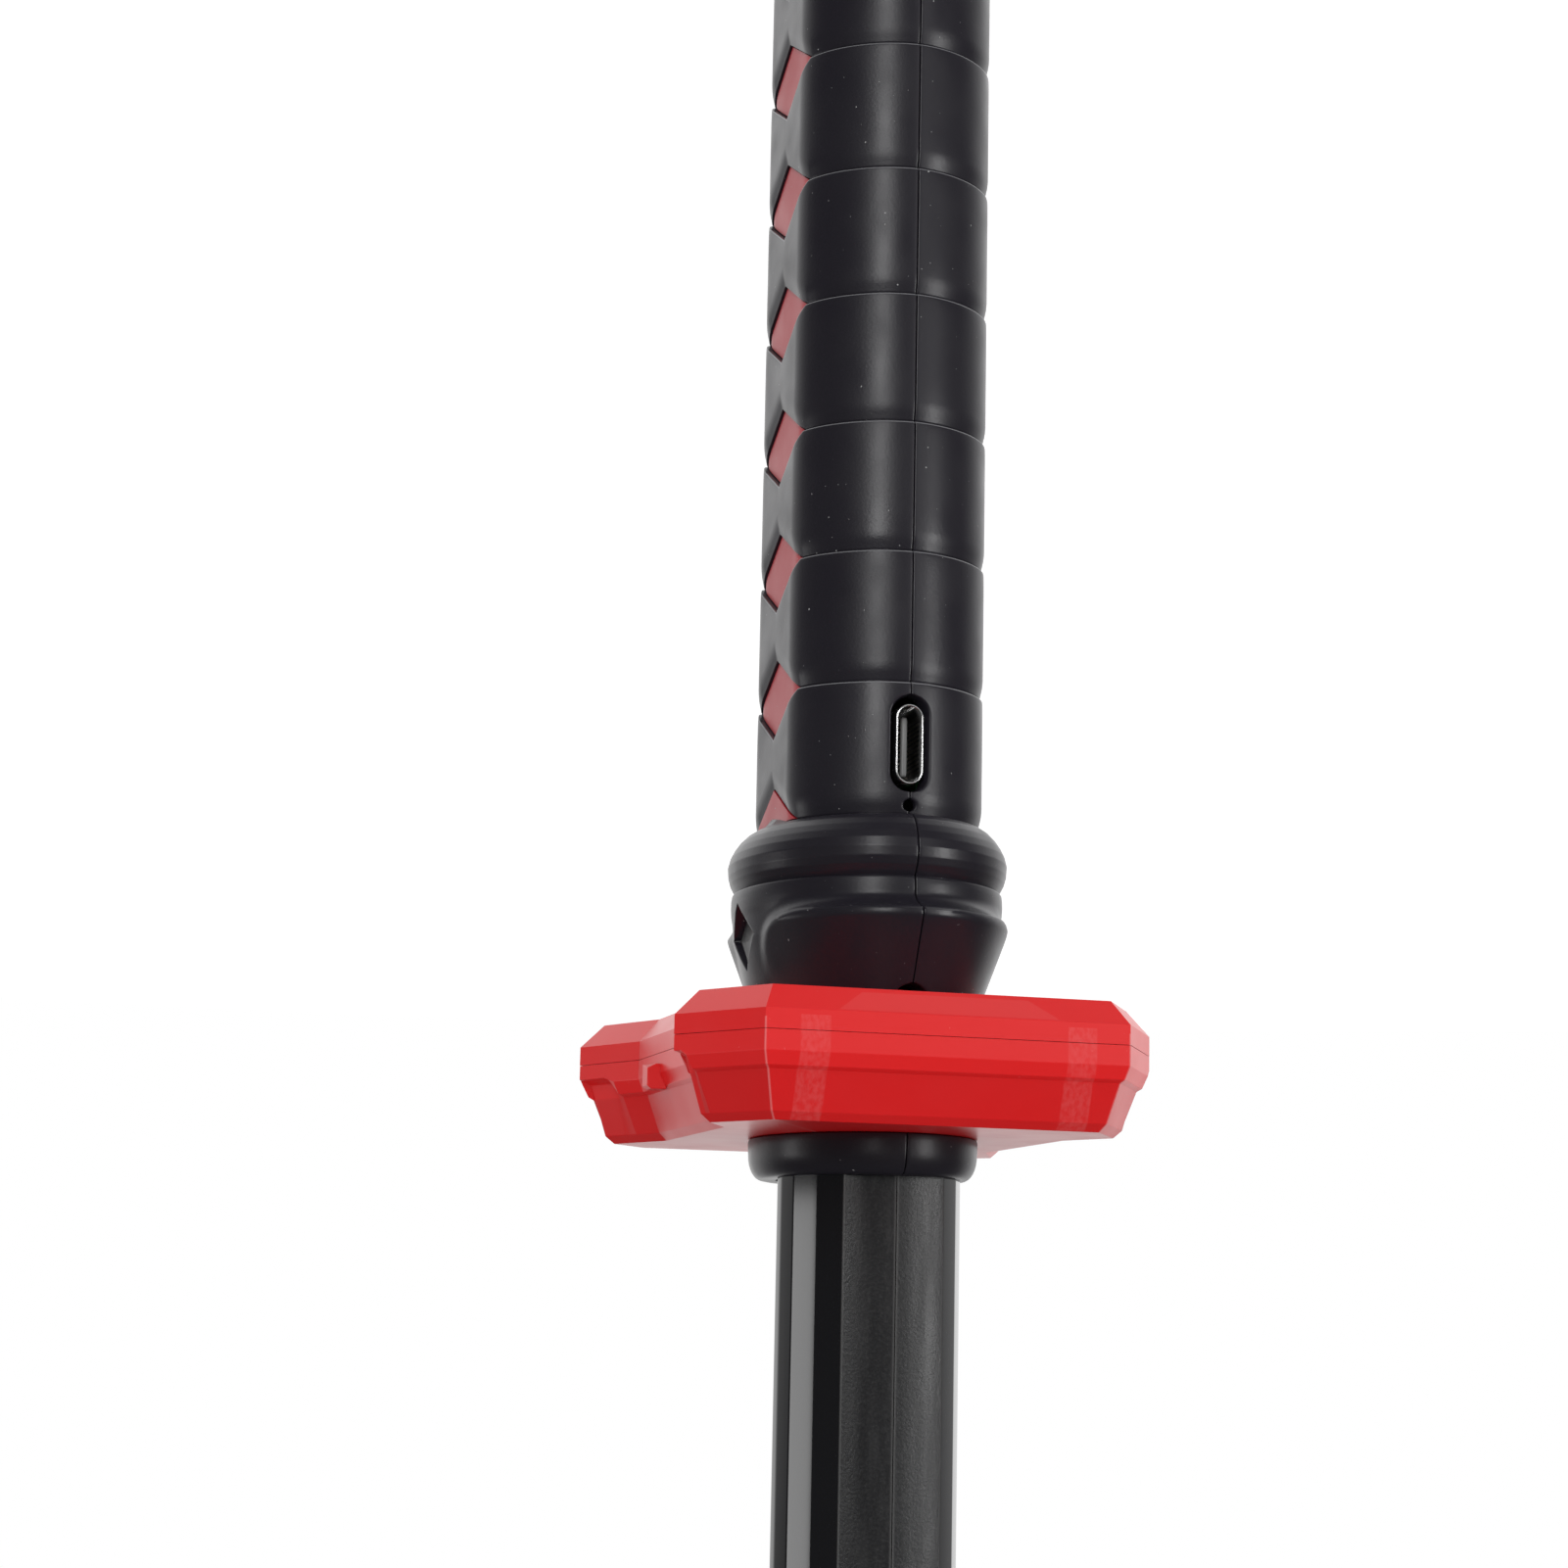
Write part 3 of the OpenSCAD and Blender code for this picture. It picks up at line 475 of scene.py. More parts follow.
# %% [markdown]
# The columns of the grid are picked along that line. They are close together beside the seams and
# at the tips of the diamonds, where the surface turns quickly, and further apart elsewhere. The
# second half of them mirrors the first.

# %% Columns of the grip
EDGE_STEPS = np.array([0, 0.035, 0.09, 0.18, 0.32])  # columns beside a seam


def even(start, end, step):
    """Evenly spread places from start up to, but without, end."""
    return np.linspace(start, end, max(2, round(abs(end - start) / step)), endpoint=False)


half_way = distance_at(0.0)
tips = distance_at(-DIAMOND_Y)
half_columns = np.concatenate([
    SEAM + EDGE_STEPS, even(SEAM + 0.5, tips - 1.2, 0.42),
    tips - np.array([1.2, 0.8, 0.45, 0.2]), even(tips, distance_at(-GRIP_FLAT), 0.27),
    even(distance_at(-GRIP_FLAT), half_way, 0.31)
])
columns = np.concatenate([half_columns, [half_way], (2 * half_way - half_columns)[::-1]])
columns_y = np.interp(columns, line_s, line_y)
print(f"{len(columns)} columns from seam to seam")

# %% [markdown]
# The charging socket, the indicator hole and the notch at the collar's foot all sit on the spine
# seam. So a half shell doesn't need holes: its seam edge steps back where an opening is. A function
# gives how far, at any height, and the columns near the seam close up to make room.

# %% Openings on the spine seam
SOCKET_Z = (low("usb_shell")[2] + high("usb_shell")[2]) / 2
SOCKET_HALF_W, SOCKET_HALF_H = 2.2, 5.37
INDICATOR_Z, INDICATOR_R = GRIP_TOP - 1.05, 0.65
GIVE = 6.0  # distance from the spine seam within which the columns close up
NEAR_SEAM = 3.0  # X within which a point of the collar or the neck is held off the seam plane
NOTCH_Z, NOTCH_R = GUARD_BOTTOM - 0.4, 1.95


def disc_edge(z, centre, radius):
    """Half width of a disc at height z."""
    return np.sqrt(np.clip(radius ** 2 - (z - centre) ** 2, 0, None))


def seam_edge(z):
    """Distance of a half shell's edge from the seam plane: a slot with round ends, and two discs."""
    off = np.clip(np.abs(z - SOCKET_Z) - (SOCKET_HALF_H - SOCKET_HALF_W), 0, None)
    socket = disc_edge(off, 0, SOCKET_HALF_W)
    hole = disc_edge(z, INDICATOR_Z, INDICATOR_R)
    notch = disc_edge(z, NOTCH_Z, NOTCH_R)
    return np.maximum.reduce([socket, hole, notch, np.full(np.shape(z), SEAM)])


def setback(z):
    """How far each column moves back for each height: the whole way at the spine seam."""
    return (seam_edge(z)[:, None] - SEAM) * np.clip(1 - (columns - SEAM) / GIVE, 0, 1)


print("seam edge at the socket:", seam_edge(np.array([SOCKET_Z])))

# %% [markdown]
# On a real sword grip the diamonds are gaps between crossing straps. Here the mould copies that:
# each wrap starts with a crisp edge, ends with a soft roll, and both edges part round a diamond.
# So rows of the grid follow those edges. Each row has a share of the diamond's half height, and an
# offset past its edge. At the nose the diamond has no height, and the same rows make the groove.

# %% Rows of one wrap
START = np.array([  # share of the diamond, offset in mm, depth in mm; -1 stands for the floor
    [0, 0, -1], [0.5, 0.015, -1], [0.93, 0.03, -1], [1, 0.05, -1], [1, 0.10, 0.13],
    [1, 0.16, 0.065], [1, 0.25, 0.04], [1, 0.42, 0.028], [1, 0.7, 0.018], [1, 1.1, 0.01],
    [1, 1.6, 0.004], [1, 2.3, 0]
])
END = np.array([
    [1, 2.3, 0], [1, 1.95, 0.02], [1, 1.6, 0.055], [1, 1.3, 0.1], [1, 1.02, 0.155],
    [1, 0.78, 0.21], [1, 0.56, 0.26], [1, 0.38, 0.3], [1, 0.22, 0.335], [1, 0.12, 0.36],
    [1, 0.05, -1], [0.93, 0.03, -1], [0.5, 0.015, -1]
])
GROOVE, FLOOR = 0.42, 1.0  # depths between two wraps: at the nose, and behind a diamond


def window_height(y):
    """Half height of a diamond at y: a straight taper to nothing at its tips."""
    return DIAMOND_Z * np.clip(1 - np.abs(y) / DIAMOND_Y, 0, 1)


def wrap_rows(w, middle=4):
    """Height above the groove and depth, for each row of one wrap and each column."""
    floor = GROOVE + (FLOOR - GROOVE) * np.clip(w / 0.3, 0, 1)
    tables = []
    for table, sign in ((START, 1), (END, -1)):
        height = table[:, :1] * w + table[:, 1:2]
        depth = np.where(table[:, 2:] < 0, floor, table[:, 2:])
        tables.append((height if sign > 0 else PITCH - height, depth))
    (start, start_d), (end, end_d) = tables
    share = np.linspace(0, 1, middle + 2)[1:-1, None]
    between = start[-1:] + (end[:1] - start[-1:]) * share
    height = np.concatenate([start, between, end])
    return height, np.concatenate([start_d, np.zeros_like(between), end_d])


print("rows of one wrap:", len(wrap_rows(window_height(columns_y))[0]))

# %% [markdown]
# The wraps follow each other at even steps. A thin pale line along each crisp edge is a painted
# highlight, which the grip's finish draws from the height.

# %% All wraps
def finer(height, depth, step):
    """The same rows with extra ones between them, so that none is further apart than step."""
    plain = height[:, 0]
    wanted = np.unique(np.round(np.concatenate([plain, np.arange(0.4, plain[-1], step)]), 4))
    at = np.interp(wanted, plain, np.arange(len(plain)))
    first = np.minimum(at.astype(int), len(plain) - 2)
    part = (at - first)[:, None]
    return tuple(t[first] * (1 - part) + t[first + 1] * part for t in (height, depth))


def grip_rows():
    """Heights and depths of all wraps; the last wrap is finer, for the openings in its spine."""
    w = window_height(columns_y)
    heights, depths = [], []
    for k in range(WRAPS):
        height, depth = wrap_rows(w) if k < WRAPS - 1 else finer(*wrap_rows(w), step=0.16)
        heights.append(GRIP_BOTTOM + k * PITCH + height)
        depths.append(depth)
    return np.concatenate(heights), np.concatenate(depths)


def painted_lip_highlight(finish, lip=0.17, half=0.05, soft=0.03, shade=(0.15, 0.15, 0.16)):
    """Painted highlight: a thin pale line just above each wrap's crisp edge, found from the place's
    height and Y.
    """
    rise = finish.less(finish.at("Z"), GRIP_BOTTOM)
    within = finish.times(finish.math("FRACT", finish.math("DIVIDE", rise, PITCH)), PITCH)
    taper = finish.times(finish.off("Y"), DIAMOND_Z / DIAMOND_Y)
    window = finish.largest(finish.less(DIAMOND_Z, taper), 0)
    line = finish.span(finish.math("ABSOLUTE", finish.less(within, window, lip)), half, half + soft, 1, 0)
    on_grip = finish.times(finish.over(rise, 0), finish.under(rise, GRIP_TOP - GRIP_BOTTOM))
    finish.stain(finish.times(line, on_grip), shade)


# painted highlight along each wrap's crisp edge
painted_lip_highlight(grip_finish)
grip_z, grip_depth = grip_rows()
print(f"{len(grip_z)} rows over {WRAPS} wraps")

# %% [markdown]
# Each point of the grip's skin is the section's point at its column, moved inwards by the depth of
# its row. Next to the seams a little more depth rounds the edges of the half shells off.

# %% Skin of the grip
def seam_lip(z, s):
    """Extra depth next to the seam: a small round on both edges, and a wall at an opening."""
    plain = np.array([0.16, 0.05, 0.018, 0.004, 0])
    wall = np.array([1.9, 0.3, 0.13, 0.05, 0.01])
    cut = np.clip((seam_edge(z)[:, None] - SEAM) / 0.3, 0, 1)
    lip = np.zeros_like(s)
    lip[:, :len(EDGE_STEPS)] = plain + (wall - plain) * cut
    lip[:, -len(EDGE_STEPS):] = plain[::-1]
    return lip


def grip_skin():
    """Outer points of one half: the section at each column, moved inwards by the depth."""
    s = columns + setback(grip_z[:, 0])
    return np.stack([*section(s, grip_depth + seam_lip(grip_z[:, 0], s)), grip_z], -1)


grip_outer = grip_skin()
print("grip skin:", grip_outer.shape, "deepest", round(float(grip_depth.max()), 2), "mm")

# %% [markdown]
# The collar is a round bulge, a groove, a second band, and two lobes that clasp the guard. It is
# two ovals in one: the plain one with its bulge and band, and the wider one of the lobes. A mask
# says which one a point belongs to. The mask flares up slowly outside the lobe's rim, and then
# snaps over the rim, which gives the thin bright line along it.

# %% Collar profile
COLLAR_X, COLLAR_Y, LOBE = 15.3, 19.2, 2.0  # half sizes of the plain oval, and the lobes' reach in Y
DRAWN_X, DRAWN_Y, DRAWN_FROM = 3.4, 4.6, 0.55  # how far a lobe draws in by its foot, and from where
ARC_R = 12.0  # radius that turns a step at the spine seam into an angle
BAND = np.array([  # share of the collar's height, drop in X, drop in Y
    [0, 3.4, 2.9], [0.008, 2.7, 2.3], [0.03, 1.95, 1.65], [0.065, 1.2, 1.05], [0.1, 0.68, 0.6],
    [0.14, 0.25, 0.22], [0.187, 0, 0], [0.24, 0.08, 0.1], [0.28, 0.3, 0.4], [0.31, 0.62, 0.8],
    [0.332, 0.95, 1.25], [0.336, 0.98, 1.28], [0.339, 0.62, 1.13], [0.346, 0.5, 1.06],
    [0.37, 0.42, 1.0], [0.41, 0.4, 0.98], [0.45, 0.45, 1.05], [0.49, 0.6, 1.2], [0.6, 0.8, 1.6],
    [0.70, 1.3, 2.1], [0.84, 2.1, 2.9], [1, 3.3, 4.2]
])
BUTTON_Z = GRIP_TOP + 0.588 * COLLAR
POCKET_Y, POCKET_Z, POCKET_FLOOR = 4.3, 3.55, 3.3
POCKET_ZONE = 4.4
POCKET = np.array([  # share of the pocket, offset in mm, share of its depth
    [0, 0, 1], [0.5, 0.02, 1], [1, 0.04, 1], [1, 0.11, 0.045], [1, 0.18, 0.016], [1, 0.32, 0]
])


def oval_angles():
    """Angle round the collar for each column, so that both ends match and the spread is even."""
    angle = np.linspace(0, math.pi, 2000)
    dx, dy = np.gradient(COLLAR_X * np.sin(angle)), np.gradient(COLLAR_Y * np.cos(angle))
    walked = np.cumsum(np.hypot(dx, dy))
    walked = (walked - walked[0]) / (walked[-1] - walked[0])
    return np.interp(columns / line_s[-1], walked, angle)


angles = oval_angles()
collar_y = -COLLAR_Y * np.cos(angles)
print(f"the collar is {COLLAR:.1f} mm high, its button is at {BUTTON_Z:.1f} mm")

# %% [markdown]
# The collar's rows are level, but for those near the button. They follow its diamond pocket, so
# that the pocket's rim stays crisp and no boolean is needed.

# %% Rows of the collar
def pocket_rows():
    """Rows round the button: they follow the diamond pocket, and are level outside its zone."""
    w = POCKET_Z * np.clip(1 - np.abs(collar_y) / POCKET_Y, 0, 1)
    offset = POCKET[:, :1] * w + POCKET[:, 1:2]
    share = np.linspace(0, 1, 17)[1:, None]
    rest = offset[-1:] + (POCKET_ZONE - offset[-1:]) * share
    up = np.concatenate([offset, rest])
    sunk = np.concatenate([
        POCKET[:, 2:] * np.clip(w / 0.25, 0, 1), np.zeros_like(rest)
    ]) * POCKET_FLOOR
    return np.concatenate([-up[::-1], up[1:]]), np.concatenate([sunk[::-1], sunk[1:]])


def collar_rows():
    """Heights and pocket depths of the collar's rows, from the grip to the guard."""
    around, sunk = pocket_rows()
    level = np.ones(len(columns))
    below = even(GRIP_TOP, BUTTON_Z - POCKET_ZONE, 0.2)
    below = np.sort(np.concatenate([below, GRIP_TOP + COLLAR * BAND[1:14, 0]]))  # up to the groove
    above = np.linspace(BUTTON_Z + POCKET_ZONE, GUARD_BOTTOM, 18)[1:]
    heights = [below[:, None] * level, BUTTON_Z + around, above[:, None] * level]
    depths = [np.zeros((len(below), len(columns))), sunk, np.zeros((len(above), len(columns)))]
    return np.concatenate(heights), np.concatenate(depths)


print("rows of the collar:", len(collar_rows()[0]))

# %% [markdown]
# Each point of the collar lies on a mix of the two ovals at its height, and then sinks in at a seam
# or in the pocket. The mix comes from the point's distance to the rounded corner of the lobe.

# %% Skin of the collar
def lobe_mask(y, share, centre=(13.7, 0.80), reach=(8.0, 0.3), power=2.4, tiny=1e-7):
    """How far a point belongs to a lobe: outside the rounded corner it flares, inside it is one.
    The corner is part of a superellipse round a centre in Y and in the collar's share."""
    across = np.clip((centre[0] - np.abs(y)) / reach[0], 0, None) ** power
    along = np.clip((centre[1] - share) / reach[1], 0, None) ** power
    total = across + along + tiny
    scale = (reach[0] * (across + tiny) + reach[1] * COLLAR * along) / total
    inside = (1 - total ** (1 / power)) * scale
    flare = 0.35 + 1.5 * along / total  # mm, wider over the lobe than beside it
    rise = 0.72 * np.clip(1 + inside / flare, 0, 1) ** 2.2
    lip = 1 - 0.28 * np.clip(1 - inside / 0.45, 0, 1) ** 2
    return np.where(inside < 0, rise, lip)


def collar_skin():
    """Outer points of one half: both ovals, mixed by the mask, and sunk at the button's pocket."""
    z, sunk = collar_rows()
    share = (z - GRIP_TOP) / COLLAR
    turn = angles + setback(z[:, 0]) / ARC_R
    band_x = COLLAR_X - np.interp(share, BAND[:, 0], BAND[:, 1])
    band_y = COLLAR_Y - np.interp(share, BAND[:, 0], BAND[:, 2])
    drop = np.clip((share - DRAWN_FROM) / (1 - DRAWN_FROM), 0, 1)
    lobe_x = COLLAR_X - 0.1 - DRAWN_X * drop
    lobe_y = COLLAR_Y + LOBE - DRAWN_Y * drop
    mask = lobe_mask(collar_y[None], share)
    half_x = band_x + (lobe_x - band_x) * mask
    half_y = band_y + (lobe_y - band_y) * mask
    lip = seam_lip(z[:, 0], turn)
    x = np.maximum((half_x - lip) * np.sin(turn) - sunk, 0)
    x = np.where(np.sin(turn) * half_x < NEAR_SEAM, np.maximum(x, seam_edge(z[:, :1])), x)
    return np.stack([x, -(half_y - lip) * np.cos(turn), z], -1)


collar_outer = collar_skin()
print("collar skin:", collar_outer.shape)

# %% [markdown]
# Past the guard the same half shells end in a ring with a round shoulder. Its foot reaches a
# little way up into the guard. The inside of a half shell is a plain hollow. A loop of the shell
# runs along the outside from seam to seam, and back along the hollow, so each half is a closed
# solid with a true wall.

# %% Neck ring and half shells
NECK_X, NECK_Y, RING_LIP = 11.4, 15.6, 0.9
RING_FOOT = GUARD_TOP - 0.9
INNER_COLUMNS = 15


def neck_skin():
    """Outer points of the neck and its ring: heights, and how far each stands out past the neck."""
    turn = np.radians(np.linspace(0, 90, 9))
    shoulder_z = RING_TOP - 2.7 * (1 - np.sin(turn))
    shoulder = RING_LIP - 0.04 - 1.5 * (1 - np.cos(turn))
    stations = np.concatenate([
        [[GUARD_BOTTOM + 0.05, 0], [RING_FOOT - 0.3, 0], [RING_FOOT + 0.02, RING_LIP - 0.25],
         [RING_FOOT + 0.12, RING_LIP - 0.05], [RING_FOOT + 0.3, RING_LIP],
         [RING_FOOT + 0.9, RING_LIP], [RING_FOOT + 1.4, RING_LIP - 0.02]],
        np.stack([shoulder_z, shoulder], -1)
    ])
    z, grow = stations[:, :1], stations[:, 1:]
    lip = seam_lip(np.full(len(z), TIP), np.zeros((len(z), len(columns))))  # no opening so high
    x = (NECK_X + grow - lip) * np.sin(angles)
    x = np.where(x < NEAR_SEAM, np.maximum(x, SEAM), x)
    y = -(NECK_Y + grow - lip) * np.cos(angles)
    return np.stack([x, y, z + 0 * x], -1)


def hollow(z):
    """Inner line of a half shell at each height: part of an oval, from the edge seam to the spine."""
    knots = [GRIP_TOP + 1, GRIP_TOP + 4, GUARD_BOTTOM - 1, GUARD_BOTTOM]
    half_x = np.interp(z, knots, [9.0, 10.8, 10.8, 9.2])
    half_y = np.interp(z, knots, [13.6, 14.4, 14.4, 12.9])
    start = np.arcsin(seam_edge(z) / half_x)
    end = math.pi - np.arcsin(SEAM / half_x)
    turn = end[:, None] + (start - end)[:, None] * np.linspace(0, 1, INNER_COLUMNS)
    x = half_x[:, None] * np.sin(turn)
    y = -half_y[:, None] * np.cos(turn)
    return np.stack([x, y, z[:, None] + 0 * x], -1)


outer = np.concatenate([grip_outer, collar_outer, neck_skin()])
shell_loops = np.concatenate([outer, hollow(outer[:, 0, 2])], axis=1)
piece("grip_right", [closed_surface(shell_loops)], grip_finish, "grip_shell_right")

# %% [markdown]
# The left half shell is the mirror of the right one, with four deep holes for its screws. A round
# hole doesn't follow the rows of the grid, so it is cut with a boolean, the one place where that
# is simpler than a formula. The cutters are short rods that stand on the shell.

# %% Screw holes and the left half shell
SCREWS_YZ = [(0, 0.5), (0, 5.5), (9.6, 7.5), (9.6, 10.5)]  # y in mm, height in wraps
HEAD_R, HEAD_H, HEAD_SUNK = 2.0, 1.6, 1.4


def swept(outline, stations, centre, axis="x"):
    """Solid from one outline at several scales; a station is its height along the axis, and its
    scale. The centre is in millimetres."""
    outline, stations = np.asarray(outline, float), np.asarray(stations, float)
    u, v, w = {"x": (1, 2, 0), "z": (0, 1, 2)}[axis]
    loops = np.zeros((len(stations), len(outline), 3))
    loops[..., u] = stations[:, 1:] * outline[:, 0]
    loops[..., v] = stations[:, 1:] * outline[:, 1]
    loops[..., w] = stations[:, :1]
    return closed_surface(loops + np.asarray(centre, float))


def revolved(stations, centre, axis="x", steps=40):
    """Solid of revolution; here a station's scale is its radius."""
    turn = np.linspace(0, 2 * math.pi, steps, endpoint=False)
    return swept(np.column_stack([np.cos(turn), np.sin(turn)]), stations, centre, axis)


# Centre of each head's face, which sits deeper where the section curves away.
HEADS = [(-GRIP_X + HEAD_SUNK + 0.13 * abs(y), y, GRIP_BOTTOM + wraps * PITCH) for y, wraps in SCREWS_YZ]
ROD = [(-4, 2.45), (-HEAD_SUNK - 0.05, 2.45), (-HEAD_SUNK + 0.25, 2.2), (1.2, 2.2)]
piece("grip_left", [closed_surface(mirrored(shell_loops))], grip_finish,
      "grip_shell_left", holes=[revolved(ROD, head) for head in HEADS])

# %% [markdown]
# Behind each half shell lies a red strip, and its raised diamonds fill the windows. Only the
# diamonds show, so the strip is made as twelve thin tiles in one mesh. A tile is a loop of points,
# front and back, swept across the grip, and it bends with the grip's section.

# %% Red diamond inlays
def inlay_tile(k, clearance=0.09, front=0.6, back=0.97, short=0.25, trim=0.1):
    """Loops of one tile on the +X side: at each y, up the face of the diamond and down its back."""
    y = np.linspace(-DIAMOND_Y + short, DIAMOND_Y - short, 45)
    half = np.clip(window_height(y) - clearance, 0.01, None)
    lowest = GRIP_BOTTOM + trim if k == 0 else -np.inf
    highest = GRIP_TOP - trim if k == WRAPS else np.inf
    share = np.concatenate([np.linspace(-1, 1, 9), np.linspace(1, -1, 3)])
    depth = np.concatenate([[front + 0.05], np.full(7, front), [front + 0.05], np.full(3, back)])
    z = np.clip(GRIP_BOTTOM + k * PITCH + half[:, None] * share, lowest, highest)
    return np.stack([*section(np.interp(y, line_y, line_s)[:, None], depth), z], -1)


inlay_finish = moulded_plastic("inlay_satin_red", (0.40, 0.022, 0.032), 0.42, 0.35, 0.006)
tiles = [inlay_tile(k) for k in range(WRAPS)] + [inlay_tile(WRAPS, front=0.2)]
for side, loops in (("right", tiles), ("left", [mirrored(tile) for tile in tiles])):
    surfaces = [closed_surface(tile) for tile in loops]
    piece("inlay_" + side, surfaces, inlay_finish, "inlay_strip_" + side)

# %% [markdown]
# The guard is two thick shells with flat facets, parted by a fine line. A facet model has few
# points, so its shape is one twelve-sided outline, pushed in by a different amount at each level.
# The two sides are the same, but the front is a little narrower and shorter than the rear.

# %% Guard outline
GUARD_X, GUARD_Y = high("guard_upper")[:2]
WAIST_X = 22.7
GUARD_REAR = np.array([[WAIST_X, 12.4], [GUARD_X, 23.4], [20.0, GUARD_Y]])
GUARD_FRONT = np.array([[WAIST_X, -11.8], [GUARD_X - 0.8, -19.2], [19.7, 0.6 - GUARD_Y]])


def guard_outline():
    """Twelve corners, counter-clockwise from the waist on the +X side."""
    flip = [-1, 1]
    return np.concatenate([GUARD_REAR, GUARD_REAR[::-1] * flip, GUARD_FRONT * flip, GUARD_FRONT[::-1]])


def inset(points, depth):
    """Outline moved inwards by depth, with mitred corners."""
    before, after = np.roll(points, 1, 0), np.roll(points, -1, 0)

    def inward(a, b):
        along = (b - a) / np.linalg.norm(b - a, axis=1)[:, None]
        return np.stack([-along[:, 1], along[:, 0]], -1)

    u, v = inward(before, points), inward(points, after)
    return points + (u + v) * depth / (1 + (u * v).sum(1))[:, None]


corners = guard_outline()
print("guard corners:", len(corners), "widest", corners.max(0))

# %% [markdown]
# Each side of the outline is cut into short steps, so that the neck's hole can be a true oval, and
# so that the ledge under the lower block can step up near the outermost corners.

# %% Guard outline in steps
SHARES = np.concatenate([  # places of the steps along a side; they are closer near its corners
    [0, 0.02], np.linspace(0.07, 0.35, 5), [0.42, 0.5, 0.58], np.linspace(0.65, 0.93, 5), [0.98]
])


def round_outline(points):
    """Points along each side of an outline, at the same shares of every side."""
    after = np.roll(points, -1, 0)
    return (points[:, None] + (after - points)[:, None] * SHARES[None, :, None]).reshape(-1, 2)


def jog_shares():
    """How far down the wall's lower edge sits, for each point: fully in the middle of a corner
    facet, and not at all next to the outermost corners."""
    near_waist = np.clip((0.56 - SHARES) / 0.12, 0, 1)
    near_front = np.clip((0.93 - SHARES) / 0.07, 0, 1)
    level = np.ones(len(SHARES))
    half = [near_waist, near_front[::-1], level, near_front, near_waist[::-1], level]
    return np.concatenate(half + half)


def neck_hole(outline, z, gap=0.1):
    """Oval round the neck, with one point towards each point of the outline."""
    turn = np.arctan2(outline[:, 1] / NECK_Y, outline[:, 0] / NECK_X)
    return np.stack([(NECK_X + gap) * np.cos(turn), (NECK_Y + gap) * np.sin(turn), z + 0 * turn], -1)


print("guard outline in", len(round_outline(corners)), "steps")

# %% [markdown]
# A shell of the guard is a ring round the neck. Its loops start at one rim of the hole, go out over
# the facets, and come back to the other rim. A small snap tab stands out of the waist on both sides.

# %% Guard surfaces
JOG = 1.7  # how far the ledge steps up
GUARD_FACE, LINE = GUARD_BOTTOM - 0.35, PARTING - 0.3
TAB_Y, TAB_SLOPE, TAB_ROOT = (2.1, 4.8), 0.25, 0.8
TAB_LEVELS = [(5.6, 0.4, 0), (6.1, 1.35, -0.5), (8.0, 1.35, 0), (8.4, 0.9, 0)]


def guard_loops(levels):
    """Loops from the hole's upper rim, out over the facets, and back to the hole's lower rim. A
    level is a height, an inset, and the part of the jog that it takes."""
    rim = round_outline(corners)
    lowered = jog_shares()
    loops = [neck_hole(rim, levels[0][0])]
    for z, depth, jog in levels:
        line = round_outline(inset(corners, depth))
        loops.append(np.column_stack([line, z + JOG * jog * (lowered - 1)]))
    loops.append(neck_hole(rim, levels[-1][0]))
    return np.array(loops)


def guard_tab(sign):
    """Snap tab on the waist: a slanted block. A level is its height over the guard's lower end,
    how far it stands out, and how much its far edge is lifted."""
    near, far = TAB_Y
    loops = [
        [[WAIST_X - TAB_ROOT, near, z], [WAIST_X + out, near + TAB_SLOPE * out, z],
         [WAIST_X + out, far, z + lift], [WAIST_X - TAB_ROOT, far, z + lift]]
        for z, out, lift in TAB_LEVELS
    ]
    return closed_surface(np.array(loops) * [sign, sign, 1] + [0, 0, GUARD_BOTTOM])


print("snap tab:", len(guard_tab(1)[0]), "points")

# %% [markdown]
# The guard's red plastic shows what the mould left: frosted bands on the long walls, painted a little
# paler as a sheen, and a raised panel on their upper bevel. The front corners get a painted highlight.
# All these are found from the place.

# %% Guard finish
BAND_X, BAND_HALF, WALL_Y = 14.4, 1.6, GUARD_Y - 4.5
PANEL_X, PANEL_Z = (8.8, 12.2), (GUARD_FACE + 0.3, GUARD_FACE + 2.7)
DEEP_Z, GLINT_Z = GUARD_BOTTOM + 8.2, LINE - 1.2


